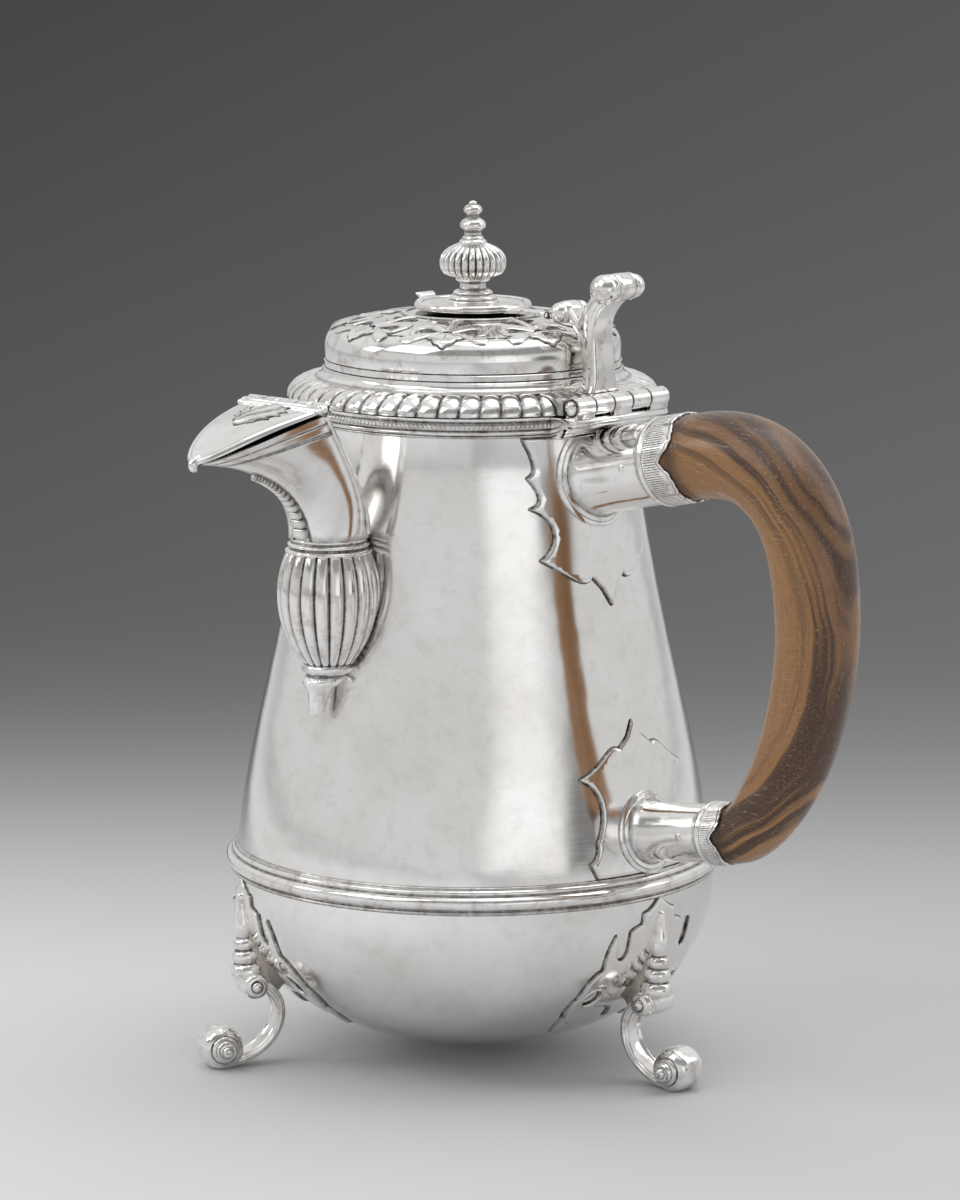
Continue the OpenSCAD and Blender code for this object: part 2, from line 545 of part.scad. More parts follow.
// Profile of the turned finial, as [radius, height] from the plate upwards.
FINIAL_FOOT = [[7.65, 0], [7.7, 0.9], [7.4, 2], [6.1, 3.6], [4.6, 4.4], [3.9, 5.2], [3.95, 6.6], [5.2, 7.2],
    [6.4, 7.7], [6.3, 8.5], [5.6, 8.9]];
FINIAL_TOP = [[4.3, 18.3], [4.6, 19], [4.3, 19.7], [3.1, 20.4], [2.6, 21.4], [2.9, 22.2], [3.7, 23.4], [3.6, 24.6],
    [2.4, 25.8], [1.9, 26.6], [2.3, 27.4], [2.65, 28.3], [2.3, 29.2], [1.3, 30.1], [0.6, 30.7]];
finial_k = finial_h / 30.7;
function finial_points(list) = [for (p = list) [p[0], finial_z + p[1] * finial_k]];
module finial() color(CAST) {
    lathe(concat([[0, finial_z]], finial_points(FINIAL_FOOT), finial_points([[4.6, 9.8], [0, 9.8]])));
    translate([0, 0, plate_z - 1.8]) cylinder(r = finial_stem_r, h = 3 + plate_t);
    rows = [[0, 0.6], [0.12, 0.8], [0.3, 0.96], [0.5, 1], [0.68, 0.9], [0.85, 0.7], [1, 0.47]];
    skin([for (row = rows) lobed(finial_bulb_r * row[1], 0.5 * row[1], finial_lobes, 3,
        finial_z + mix(8.9, 18.3, row[0]) * finial_k)]);
    lathe(concat(finial_points([[0, 17.4], [3.4, 17.4]]), finial_points(FINIAL_TOP), [[0, finial_z + finial_h]]));
}
module finial_washer() color(SILVER)
    lathe([[finial_stem_r + solder, plate_z - 1.3], [3.2, plate_z - 1.3], [3.6, plate_z - 0.9], [3.6, plate_z],
        [finial_stem_r + solder, plate_z]]);

// ================= spout =================
// Points in the spout's own plane are [distance from the pot's axis, height].
function in_spout(p, x = 0) = [x, -p[0], p[1]];
module at_spout(p) translate(in_spout(p)) children();
BACK = [[bulb_d - collar_r, neck_base_z], [bulb_d - 6, neck_base_z + 13],
    [flap_hinge_d - 14, flap_hinge_z - 18], [flap_hinge_d, flap_hinge_z - 1.9]];
FRONT = [[bulb_d + collar_r, neck_base_z], [bulb_d + collar_r + 1, neck_base_z + 14.5],
    [spout_reach - 27.6, flap_hinge_z - spout_dip - 5.2], [spout_reach, flap_hinge_z - 1.9 - spout_dip]];
mouth_dir = unit(FRONT[3] - BACK[3]);
mouth_len = norm(FRONT[3] - BACK[3]);
mouth_up = [-mouth_dir[1], mouth_dir[0]];

function bulb_half(dz, round = 30) = bulb_r - round + sqrt(round * round - dz * dz);
// Cast bulb at the spout's root, hollow behind its flutes and open to the strainer holes.
module spout_bulb() color(CAST) difference() {
    low = bulb_z - 20;
    skin([for (i = [0:8]) let (z = mix(low, collar_z, i / 8), q = bulb_half(z - bulb_z))
        [for (p = lobed(q, flute_groove * min(1, q / bulb_r + 0.1), bulb_flutes, 4, z, 180 / bulb_flutes))
            p + [0, -bulb_d, 0]]]);
    translate([0, -bulb_d, 0]) lathe(concat([[0, low + 3]],
        [for (i = [0:6]) let (z = mix(low + 3, collar_z - 1.5, i / 6)) [bulb_half(z - bulb_z) - flute_groove - 1.3, z]],
        [[collar_bore(), collar_z - 1.5], [collar_bore(), collar_z + 1], [0, collar_z + 1]]));
    body_core(solder, bulb_z - 30, collar_z + 4);
}
function collar_bore() = collar_r - spout_sheet;
// Depth, half-width and outward lean of the drop under the bulb.
DROP = [[solder, 7.4, 0], [0.6, 8, 0], [1.3, 8.2, 0.1], [2.4, 7.5, 0.5], [3.2, 6.3, 1], [3.6, 5.7, 1.4], [4, 6, 2],
    [4.8, 6.1, 2.8], [5.6, 5.4, 3.4], [6.6, 4.2, 3.9], [7.6, 3.3, 4.2], [9.2, 2.6, 4.6], [11.8, 2, 5.1], [14, 1.7, 5.4],
    [15.1, 1.3, 5.4], [15.7, 0.7, 5.4]];
module spout_pendant() color(CAST) difference() {
    skin([for (d = backwards(DROP)) [for (k = [0:23]) in_spout([bulb_d + d[2] * drop_lean + d[1] * sin(15 * k),
        bulb_z - 20 - d[0]], -d[1] * cos(15 * k))]]);
    body_core(solder, bulb_z - 50, bulb_z);
}
module spout_collar() color(CAST) difference() {
    h = neck_base_z - collar_z;
    at_spout([bulb_d, collar_z]) lathe([[collar_bore(), 0], [collar_r + 1.4, 0], [collar_r + 1.8, 0.5], [collar_r + 1.5, 1.1],
        [collar_r + 0.7, 1.5], [collar_r + 0.5, 1.9], [collar_r + 1, 2.4], [collar_r + 0.9, 3], [collar_r + 0.3, 3.5],
        [collar_r, h], [collar_bore(), h]]);
    body_core(solder, collar_z - 10, neck_base_z + 10);
}

// One cross-section of the spout: round at the collar, flat-backed and keeled at the mouth.
function spout_section(s, inset, n = 28) = let (
        b = bez(BACK, s), f = bez(FRONT, s), along = unit(f - b),
        len = norm(f - b) - inset * (1 + mix(1, 1.8, s)), half = mix(collar_r, mouth_half, pow(s, 0.9)) - inset,
        wide = len * mix(0.5, 0.04, pow(s, 0.6)), keel = mix(1, 1.45, s))
    [for (i = [0:n - 1]) let (a = 360 * i / n, up = a < 180,
        y = up ? wide + (len - wide) * pow(sin(a), keel) : wide * (1 - pow(-sin(a), keel)))
        in_spout(b + along * (y + inset) + mouth_up * bow(s, y / len), half * cos(a))];
// The spout's edge bows up towards the middle of its length.
function bow(s, t) = mouth_bow * pow(s, 5) * sin(180 * pow(min(1, max(0, t)), 0.9));
module spout_neck() color(SILVER) difference() {
    steps = 14;
    outer = [for (i = [0:steps]) spout_section(i / steps, 0)];
    inner = [for (i = [0:steps]) spout_section(i / steps, spout_sheet)];
    skin([for (j = [0:len(outer[0]) - 1])
        concat([for (loop = outer) loop[j]], [for (loop = backwards(inner)) loop[j]])], closed = true);
    body_core(solder, neck_base_z - 6, neck_z);
}
// Graduated tiles up the spout's front, each a little smaller than the one below.
function tile_w(t) = mix(6, 1.8, t / tile_end);
function tile_starts(t, list) = t > tile_end ? list
    : tile_starts(t + tile_w(t) * 0.58 / norm(bez_dir(FRONT, t)), concat(list, [t]));
tile_end = 0.66;
module spout_tile_strip() color(CAST) for (t = tile_starts(0.02, [])) {
    w = tile_w(t);
    mid = t + w * 0.29 / norm(bez_dir(FRONT, t));
    dir = bez_dir(FRONT, mid);
    at_spout(bez(FRONT, mid)) rotate([atan2(dir[0], dir[1]), 0, 0])
        translate([0, -0.2, 0]) linear_extrude(w * 0.58 - 0.2, center = true)
            polygon(concat([[w / 2, 0], [-w / 2, 0]],
                [for (k = [0:6]) let (v = k / 3 - 1) [v * w / 2, -0.3 - 0.9 * (1 - v * v)]]));
}
// Twin wires down both edges of the spout's flat back.
module spout_edge_wires() color(CAST) difference() {
    wire = 0.7;
    for (spot = [0, -2, 14, 16]) skin([for (i = [1:14]) let (s = i / 14.2, on = spout_section(s, -wire - solder),
        mid = on[(spot + 28) % 28])
        [for (a = [0:60:300]) mid + wire * [cos(a), sin(a), 0]]]);
    body_core(solder, neck_base_z - 6, neck_z);
}
flap_pitch = 2 * mouth_half / knuckles;
module flap_knuckle(k, web_d0, web_d1, web_z0) {
    x0 = -mouth_half + k * flap_pitch + (k > 0 ? rest_gap / 2 : 0);
    x1 = -mouth_half + (k + 1) * flap_pitch - (k < knuckles - 1 ? rest_gap / 2 : 0);
    translate([x0, -flap_hinge_d, flap_hinge_z]) rotate([0, 90, 0]) cylinder(r = flap_barrel_r, h = x1 - x0);
    translate([x0, -web_d1, web_z0]) cube([x1 - x0, web_d1 - web_d0, flap_hinge_z - web_z0]);
}
module flap_pin_room() translate([-mouth_half - 2, -flap_hinge_d, flap_hinge_z])
    rotate([0, 90, 0]) cylinder(r = flap_pin_r + pin_gap, h = 2 * mouth_half + 4);
module spout_hinge_knuckles() color(CAST) difference() {
    for (k = [0, 2, 4]) flap_knuckle(k, flap_hinge_d - 0.8, flap_hinge_d + 0.8, flap_hinge_z - 1.8);
    flap_pin_room();
}
module flap_hinge_pin() color(CAST) translate([0, -flap_hinge_d, flap_hinge_z]) rotate([0, 90, 0])
    cylinder(r = flap_pin_r, h = 2 * mouth_half + 1.4, center = true);

// The flap is drawn over the mouth: u runs from the hinge to the tip, v from side to side.
flap_start = (flap_barrel_r + rest_gap + 0.1) / mouth_len;
function flap_half(u) = (mouth_half + 0.2) * sqrt(max(0.0001, 1 - pow(max(0, (u - 0.04) / 0.975), 2 / 1.45)));
function flap_rise(u, v) = flap_dome * (1 - v * v) * sin(180 * pow(u, 0.75)) + 0.3 * pow(1 - abs(v), 3) * sin(180 * u);
function flap_point(u, v, lift) = in_spout(BACK[3] + mouth_dir * mouth_len * u
    + mouth_up * (mix(1, rest_gap + 0.1, u) + bow(1, u) + flap_gape * sin(180 * pow(u, 1.3)) + flap_rise(u, v) + lift),
    v * flap_half(u));
module spout_flap() color(SILVER) {
    us = concat([for (i = [0:10]) mix(flap_start, 0.9, i / 10)], [0.955, 1, 1.012]);
    vs = [for (j = [-5:5]) j / 5];
    difference() {
        union() {
            skin([for (u = us) concat([for (v = vs) flap_point(u, v, 0)],
                [for (v = backwards(vs)) flap_point(u, v, flap_t)])], strip = true);
            for (k = [1, 3]) flap_knuckle(k, flap_hinge_d, flap_hinge_d + flap_barrel_r + rest_gap + 1.6,
                flap_hinge_z - 0.5);
        }
        flap_pin_room();
    }
}
// Applied leaf that lies on the flap beside its hinge.
function leaf_half(u) = 0.5 * pow(sin(180 * (u - 0.1) / 0.56), 0.8) * (1 - 0.18 * abs(sin(900 * (u - 0.14))));
module flap_leaf() color(CAST) {
    us = [for (i = [0:8]) mix(0.14, 0.62, i / 8)];
    vs = [for (j = [-4:4]) j / 4];
    skin([for (u = us) concat([for (v = vs) flap_point(u, v * leaf_half(u), flap_t + 0.12)],
        [for (v = backwards(vs)) flap_point(u, v * leaf_half(u), flap_t + 0.5 + 0.8 * (1 - v * v))])], strip = true);
}

// ================= handle =================
module at_upper() translate([upper_x, 0, upper_z]) rotate([0, 90 - upper_tilt, 0]) children();
module at_lower() translate([lower_x, 0, lower_z]) rotate([0, 90 - lower_tilt, 0]) children();
UPPER_CARD = placed(upper_seat_z + 0.116 * upper_card_h, upper_card_h, concat([[0, -1], [0.073, -0.881], [0.153, -0.801]],
    bez_line([[0.153, -0.801], [0.217, -0.892], [0.343, -0.767], [0.517, -0.664]], 5),
    bez_line([[0.517, -0.664], [0.355, -0.572], [0.355, -0.4], [0.549, -0.32]], 5),
    [[0.458, -0.275], [0.549, -0.114], [0.503, -0.023], [0.572, 0.149]]));
LOWER_CARD = placed(lower_seat_z, lower_card_h, concat([[0, 1], [0.102, 0.847], [0.237, 0.746]],
    bez_line([[0.237, 0.746], [0.339, 0.831], [0.441, 0.61], [0.746, 0.492]], 5),
    bez_line([[0.746, 0.492], [0.475, 0.373], [0.525, 0.068], [0.644, -0.139]], 5),
    [[0.746, -0.336], [0.678, -0.488]]));
// Half outline drawn for a plate of height 1, brought to its size and height on the body.
function placed(z, h, half) = [for (p = half) [p[0] * h, z + p[1] * h]];
module upper_cut_card() color(SILVER) intersection() {
    body_skin(upper_seat_z - 41, neck_z - 0.3, solder, solder + card_t);
    towards_handle(neck_r * 0.6, belly_r) mirrored(UPPER_CARD);
}
module lower_cut_card() color(SILVER) intersection() {
    body_skin(seam_z + belt_h / 2 + 0.3, lower_z + 31, solder, solder + card_t);
    towards_handle(neck_r * 0.6, belly_r + 5) mirrored(LOWER_CARD);
}
on_card = 2 * solder + card_t;
module upper_socket_disc() color(CAST) intersection() {
    body_skin(upper_seat_z - 23, neck_z - 0.3, on_card, on_card + disc_t);
    at_upper() translate([0, 0, -40]) cylinder(r = upper_r + 3.6, h = 45);
}
module lower_socket_disc() color(CAST) intersection() {
    body_skin(seam_z + belt_h / 2 + 0.3, lower_z + 22, on_card, on_card + disc_t);
    at_lower() translate([0, 0, -50]) cylinder(r = lower_r + 3.6, h = 55);
}
socket_bead = 0.8;
// Hollow socket running from the disc on the body to the ring that holds the wood.
module socket(r, depth) difference() {
    union() {
        translate([0, 0, -depth]) cylinder(r = r, h = depth);
        translate([0, 0, -2 * socket_bead]) rotate_extrude() polygon(concat([[r - 1, 0]], arc([r, socket_bead], socket_bead, -90, 0, 5),
            [[r + socket_bead, 2 * socket_bead], [r - 1, 2 * socket_bead]]));
    }
    translate([0, 0, -tenon_h - 1]) cylinder(r = r - socket_wall, h = tenon_h + 2);
    grip_pin_room(r);
}
module grip_pin_room(r) translate([0, 0, -tenon_h * 0.62]) rotate([90, 0, 0])
    cylinder(r = grip_pin_r + solder, h = 2 * r + 6, center = true);
module upper_socket() color(CAST) difference() {
    at_upper() socket(upper_r, upper_x - neck_r * 0.8);
    body_core(on_card + disc_t + solder, upper_z - 34, neck_z + 2);
    translate([0, 0, neck_z - solder]) cylinder(r = neck_r + rim_out + solder, h = 2 * rim_h);
}
module lower_socket() color(CAST) difference() {
    at_lower() socket(lower_r, lower_x - belly_r * 0.8);
    body_core(on_card + disc_t + solder, lower_z - 40, lower_z + 40);
}
// Engraved ferrule round the socket's end, with points that run out along the wood.
module ferrule(r, h) difference() {
    intersection() {
        rotate_extrude() polygon([[r + solder, solder], [r + 0.75, solder], [r + 0.75, 1.2], [r + 0.6, h], [r + solder, h]]);
        rotate([0, 90, 0]) linear_extrude(3 * r, center = true)
            mirrored_across([[h, 0], [h * 0.72, r * 0.3], [h * 0.7, r * 0.5], [h * 0.86, r * 0.72],
                [h * 0.86, r + 1], [-1, r + 1]]);
    }
    rotate([90, 0, 0]) linear_extrude(3 * r, center = true)
        polygon([[-r * 0.3, h], [-r * 0.22, h * 0.62], [0, h * 0.46], [r * 0.22, h * 0.62], [r * 0.3, h]]);
}
// Outline that is symmetrical about its own length, drawn against the socket's direction.
module mirrored_across(half) polygon(concat([for (p = half) [-p[0], p[1]]], [for (p = backwards(half)) [-p[0], -p[1]]]));
module upper_ferrule() color(CAST) at_upper() ferrule(upper_r, point_h);
module lower_ferrule() color(CAST) at_lower() ferrule(lower_r, low_point_h);

low_point_h = point_h - 4.2;
straight = point_h + 1;
low_straight = low_point_h + 0.6;
function grip_start(x, z, tilt, along) = [x + along * cos(tilt), z + along * sin(tilt)];
GRIP_IN = grip_start(upper_x, upper_z, upper_tilt, straight);
GRIP_OUT = grip_start(lower_x, lower_z, lower_tilt, low_straight);
grip_mid_z = mix(lower_z, upper_z, 0.6);
GRIP_TOP = [GRIP_IN, grip_start(GRIP_IN[0], GRIP_IN[1], upper_tilt, 27), [grip_x, grip_mid_z + 36], [grip_x, grip_mid_z]];
GRIP_LOW = [[grip_x, grip_mid_z], [grip_x, grip_mid_z - 30], grip_start(GRIP_OUT[0], GRIP_OUT[1], lower_tilt + 7, 12), GRIP_OUT];
mid_r = upper_r - 0.3;
// Round section of the grip across its centre line.
function grip_ring(c, dir, r, n = 20) = let (d = unit(dir), up = [-d[1], d[0]])
    [for (k = [0:n - 1]) let (a = 360 * k / n) [c[0] + up[0] * r * cos(a), -r * sin(a), c[1] + up[1] * r * cos(a)]];
module handle_grip() color(WOOD) difference() {
    union() {
        at_upper() translate([0, 0, -tenon_h]) cylinder(r = upper_r - socket_wall - solder, h = tenon_h + 1);
        at_lower() translate([0, 0, -tenon_h]) cylinder(r = lower_r - socket_wall - solder, h = tenon_h + 1);
        at_upper() cylinder(r = upper_r, h = straight - 0.3);
        at_lower() cylinder(r = lower_r, h = low_straight - 0.3);
        skin(concat(
            [grip_ring(grip_start(upper_x, upper_z, upper_tilt, straight - 0.6), bez_dir(GRIP_TOP, 0), upper_r - 0.1)],
            [for (i = [0:12]) let (t = i / 12) grip_ring(bez(GRIP_TOP, t), bez_dir(GRIP_TOP, t),
                mix(upper_r - 0.1, mid_r, t) + grip_swell * sin(180 * pow(t, 0.8)))],
            [for (i = [1:12]) let (t = i / 12) grip_ring(bez(GRIP_LOW, t), bez_dir(GRIP_LOW, t),
                bez([mid_r, mid_r - 0.2, mix(mid_r, lower_r, 0.65), lower_r - 0.1], t))],
            [grip_ring(grip_start(lower_x, lower_z, lower_tilt, low_straight - 0.6), -[cos(lower_tilt), sin(lower_tilt)], lower_r - 0.1)]));
    }
    at_upper() grip_pin_room(upper_r);
    at_lower() grip_pin_room(lower_r);
}
module grip_pin(r) translate([0, 0, -tenon_h * 0.62]) rotate([90, 0, 0]) cylinder(r = grip_pin_r, h = 2 * r + 0.8, center = true);
module upper_handle_pin() color(CAST) at_upper() grip_pin(upper_r);
module lower_handle_pin() color(CAST) at_lower() grip_pin(lower_r);

// ================= feet =================
module at_foot(k) rotate(feet_turn + 120 * k) children();
// Skin lying on the bowl between two angles of its curve, in the bowl's own steps.
module bowl_skin(from, to, u0, u1) lathe(concat([for (u = [u0:bowl_step:u1]) bowl_point(u, to)],
    [for (u = [u1:-bowl_step:u0]) bowl_point(u, from)]));
// Jagged leaf with a long spike on each side and a looped tail under it.
CARD_LEAF = placed(bowl_centre_z + 3.6, foot_card_h, concat([[0, 0], [0.055, -0.055], [0.115, -0.09], [0.155, -0.1], [0.17, -0.18],
    [0.22, -0.185], [0.26, -0.21], [0.27, -0.3]],
    bez_line([[0.262, -0.34], [0.265, -0.41], [0.35, -0.42], [0.36, -0.31]], 4), [[0.365, -0.24], [0.415, -0.3], [0.42, -0.42],
    [0.38, -0.47], [0.44, -0.49], [0.485, -0.56], [0.475, -0.66], [0.47, -0.74], [0.41, -0.83], [0.33, -0.87]],
    bez_line([[0.3, -0.74], [0.22, -0.76], [0.14, -0.72], [0.07, -0.86]], 4)));
module foot_card(k) color(SILVER) at_foot(k) intersection() {
    bowl_skin(solder, solder + card_t, 20, 90);
    towards_handle(bowl_r * 0.2, bowl_r + 5) difference() {
        mirrored(CARD_LEAF);
        for (side = [-1, 1]) translate([side * 0.39 * foot_card_h, bowl_centre_z + 3.6 - 0.66 * foot_card_h])
            circle(r = 0.055 * foot_card_h);
    }
}
// Ringed spire over the foot's upper roll, as [radius, height].
SPIRE = [[0, 0], [4.3, 0.4], [4.7, 2], [4.1, 3.6], [3.5, 4.2], [3.9, 5.2], [3.8, 6.6], [3, 7.7], [3.4, 8.7], [3.3, 10],
    [2.4, 11.2], [2.5, 12.6], [2.6, 14.6], [2.1, 18], [1.5, 21.4], [1, 23.6], [0, 24.2]];
knee_r = 3.9;
knee_x = toe_x - 9.8;
knee_z = toe_z + 18.6;
// Cast foot: ringed spire, upper ball, scrolling strap and rolled toe.
module foot(k) color(CAST) at_foot(k) difference() {
    union() {
        rotate([90, 0, 0]) linear_extrude(strap_w, center = true) strap_profile();
        translate([toe_x, 0, toe_z]) {
            rotate([90, 0, 0]) cylinder(r = toe_r * 0.93, h = toe_w - 2, center = true);
            intersection() {
                sphere(r = toe_r);
                cube([3 * toe_r, toe_w, 3 * toe_r], center = true);
            }
        }
        for (side = [-1, 1]) translate([toe_x - 1, side * toe_w / 2, toe_z - 0.4]) rotate([-90 * side, 0, 0]) {
            translate([0, 0, -1]) cylinder(r1 = 4.2, r2 = 3.2, h = 1.9);
            translate([0, 0, 0.8]) cylinder(r1 = 2.4, r2 = 1.2, h = 1.4);
        }
        translate([knee_x, 0, knee_z]) roll(knee_r, 5.4);
        translate([knee_x + 1.2, 0, knee_z + 2]) rotate([0, 4.6, 0]) lathe([for (p = SPIRE) [p[0], p[1] * spire_h / 24.2]]);
        rotate([90, 0, 0]) linear_extrude(strap_w * 0.7, center = true)
            polygon([[knee_x + 1, knee_z], [knee_x + 2.6, knee_z + spire_h - 5], [bowl_r - 8, knee_z + spire_h - 5],
                [bowl_r - 20, knee_z - 4.5], [knee_x - 7, knee_z - 5.5], [knee_x - 3, knee_z - 3]]);
    }
    bowl_core(2 * solder + card_t);
    translate([0, -50, -50]) cube([200, 100, 50]);
}
module bowl_core(out) lathe(concat(bowl_line(out), [[0, bowl_centre_z]]));
STRAP = [[toe_x - 1, strap_t / 2 + toe_wear], [toe_x - 18, 2.2], [toe_x - 24.5, knee_z - 4.3], [knee_x - 1.2, knee_z + 0.7]];
function beside(p, t, off) = let (d = unit(bez_dir(p, t))) bez(p, t) + off * [-d[1], d[0]];
module strap_profile() {
    n = 16;
    polygon(concat([for (i = [0:n]) beside(STRAP, i / n, strap_t / 2)],
        [for (i = [n:-1:0]) beside(STRAP, i / n, -strap_t / 2)]));
}

// ================= assembly =================
body_wall();
bowl();
belt_moulding();
rim_moulding();
hinge_bracket();
body_hinge_knuckles();
lid_hinge_pin();
lid_dome();
lid_border();
lid_bezel();
lid_cut_card();
lid_hinge_leaf();
thumbpiece();
plate_hinge_pin();
finial_plate();
finial();
finial_washer();
spout_bulb();
spout_pendant();
spout_collar();
spout_neck();
spout_tile_strip();
spout_edge_wires();
spout_hinge_knuckles();
flap_hinge_pin();
spout_flap();
flap_leaf();
upper_cut_card();
lower_cut_card();
upper_socket_disc();
lower_socket_disc();
upper_socket();
lower_socket();
upper_ferrule();
lower_ferrule();
handle_grip();
upper_handle_pin();
lower_handle_pin();
foot(0);  // foot_1
foot(1);  // foot_2
foot(2);  // foot_3
foot_card(0);  // foot_card_1
foot_card(1);  // foot_card_2
foot_card(2);  // foot_card_3
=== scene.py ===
import math
import bpy
import numpy as np
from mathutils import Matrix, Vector
from mathutils.geometry import delaunay_2d_cdt


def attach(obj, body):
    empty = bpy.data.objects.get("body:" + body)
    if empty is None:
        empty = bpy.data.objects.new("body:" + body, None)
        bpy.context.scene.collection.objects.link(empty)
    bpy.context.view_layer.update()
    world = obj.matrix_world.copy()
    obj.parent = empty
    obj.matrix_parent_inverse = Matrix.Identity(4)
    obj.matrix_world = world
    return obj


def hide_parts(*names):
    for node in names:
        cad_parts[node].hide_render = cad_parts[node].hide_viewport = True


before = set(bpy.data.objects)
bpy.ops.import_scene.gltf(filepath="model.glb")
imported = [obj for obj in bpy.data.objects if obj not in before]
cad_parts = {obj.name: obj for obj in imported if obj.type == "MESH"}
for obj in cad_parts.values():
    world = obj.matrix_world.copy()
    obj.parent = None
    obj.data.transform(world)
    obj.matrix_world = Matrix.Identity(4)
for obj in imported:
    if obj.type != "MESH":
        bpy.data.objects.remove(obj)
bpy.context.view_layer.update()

# Bowl: the lower half of the body, a shallow bowl raised from a disc of sheet silver.
# Its edge stands up to meet the upper body, and the belt moulding is soldered over the seam.
mm = 0.001
tau = 2 * math.pi
sheet = 1.2
seam_z = 60.8
bowl_r, bowl_z, bowl_deep, bowl_full = 72.4, 54.0, 49.5, 2.15


def eased(line, times=2):
    """Rounds an open line: every corner is cut at a quarter of both its sides, and its two ends stay."""
    line = np.asarray(line, float)
    for _ in range(times):
        a, b = line[:-1], line[1:]
        cut = np.stack([0.75 * a + 0.25 * b, 0.25 * a + 0.75 * b], 1).reshape(-1, line.shape[1])
        line = np.vstack([line[:1], cut[1:-1], line[-1:]])
    return line


def arc(x, y, r, start, end, n=9):
    """Points on a circle of radius r about x, y, from one angle to another, in degrees."""
    turn = np.radians(np.linspace(start, end, n))
    return np.stack([x + r * np.cos(turn), y + r * np.sin(turn)], -1)


def circle(columns):
    """Angles spread evenly round a whole turn."""
    return np.linspace(0, tau, columns, endpoint=False)


def lathe(profile, columns=192, at=(0.0, 0.0, 0.0)):
    """Grid of a profile of radii and heights carried round an upright axis through a point."""
    r, z = np.asarray(profile, float).T
    turn = circle(columns)
    r = np.maximum(r, 0.02)[:, None]
    return np.stack([at[0] + r * np.cos(turn), at[1] + r * np.sin(turn), at[2] + z[:, None] + 0 * turn], -1)


def outward(points, quads, tris):
    """Turns the faces of a closed skin outwards, where the volume that they bound is above nothing."""
    every = np.vstack([tris, quads[:, :3], quads[:, [0, 2, 3]]])
    a, b, c = (points[every[:, n]] - points[0] for n in range(3))
    way = 1 if np.einsum("ij,ij->i", a, np.cross(b, c)).sum() > 0 else -1
    return quads[:, ::way], tris[:, ::way]


def cover(grid, dirt=0.0, loop=False):
    """Faces over a grid of points, one to every four neighbours. Its last column meets its first. A loop's
    last row meets its first too, and otherwise the two end rows are closed round their middles."""
    grid = np.asarray(grid, float)
    rows, cols = grid.shape[:2]
    i, j = np.arange(rows if loop else rows - 1)[:, None], np.arange(cols)[None, :]
    near, far, side = i * cols, (i + 1) % rows * cols, (j + 1) % cols
    quads = np.stack([near + j, near + side, far + side, far + j], -1).reshape(-1, 4)
    points, tris = grid.reshape(-1, 3), np.zeros((0, 3), int)
    dirt = np.broadcast_to(dirt, (rows, cols)).reshape(-1)
    if not loop:
        k, last = np.arange(cols), (rows - 1) * cols
        tris = np.vstack([np.stack([(k + 1) % cols, k, 0 * k + rows * cols], -1),
                          np.stack([last + k, last + (k + 1) % cols, 0 * k + rows * cols + 1], -1)])
        points = np.vstack([points, grid[[0, -1]].mean(1)])
        dirt = np.concatenate([dirt, dirt[:1], dirt[-1:]])
    return (points, *outward(points, quads, tris), dirt)


def make(name, parts, coat, body, nodes, crease=38):
    """One object from several covered grids. It rides on its body and stands for its CAD nodes. Edges that
    turn by more than the crease angle stay sharp. The dirt that gathers in hollows, with painted shade along
    some edges and round some parts, is kept at each point."""
    points, faces, dirt, start = [], [], [], 0
    for p, quads, tris, d in parts:
        points.append(p)
        faces += (quads + start).tolist() + (tris + start).tolist()
        dirt.append(d)
        start += len(p)
    mesh = bpy.data.meshes.new(name)
    mesh.from_pydata((np.vstack(points) * mm).tolist(), [], faces)
    dirt = np.concatenate(dirt).astype(np.float32)
    mesh.attributes.new("dirt", "FLOAT", "POINT").data.foreach_set("value", dirt)
    mesh.polygons.foreach_set("use_smooth", np.ones(len(faces), bool))
    mesh.set_sharp_from_angle(angle=math.radians(crease))
    mesh.materials.append(coat)
    piece = bpy.data.objects.new(name, mesh)
    bpy.context.scene.collection.objects.link(piece)
    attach(piece, body)
    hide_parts(*nodes)
    return piece


def wired(tree, kind, plugs=(), **settings):
    """Adds a node to a material, with its settings, its plain numbers and its links from other nodes."""
    node = tree.nodes.new("ShaderNode" + kind)
    for key, value in settings.items():
        setattr(node, key, value)
    for key, value in dict(plugs).items():
        if isinstance(value, bpy.types.NodeSocket):
            tree.links.new(value, node.inputs[key])
        else:
            node.inputs[key].default_value = value
    return node


def blank(name, finish):
    """An empty material with its output, its shader and its place on the object."""
    coat = bpy.data.materials.new(name)
    coat.use_nodes = True
    coat["finish"] = finish
    tree = coat.node_tree
    tree.nodes.clear()
    shader = wired(tree, "BsdfPrincipled")
    wired(tree, "OutputMaterial", {"Surface": shader.outputs[0]})
    return coat, tree, shader, wired(tree, "TexCoord").outputs["Object"]


def blend(tree, share, under, over):
    """One colour laid over another by a share."""
    return wired(tree, "Mix", {0: share, 6: under, 7: over}, data_type="RGBA").outputs[2]


def noise(tree, place, scale, detail, rough=0.5):
    """Cloudy noise: how close its clouds lie, how many finer ones ride on them and how strongly."""
    clouds = {"Vector": place, "Scale": scale, "Detail": detail, "Roughness": rough}
    return wired(tree, "TexNoise", clouds).outputs[0]


def drawn(tree, place, scale):
    """A place drawn out along its axes, so that noise read there lies in streaks."""
    return wired(tree, "Mapping", {"Vector": place, "Scale": scale}).outputs[0]


def spread(tree, value, low, high, start=0.0, end=1.0, kind="LINEAR"):
    """A change from one value to another between two limits."""
    limits = {"Value": value, "From Min": low, "From Max": high, "To Min": start, "To Max": end}
    return wired(tree, "MapRange", limits, interpolation_type=kind).outputs[0]


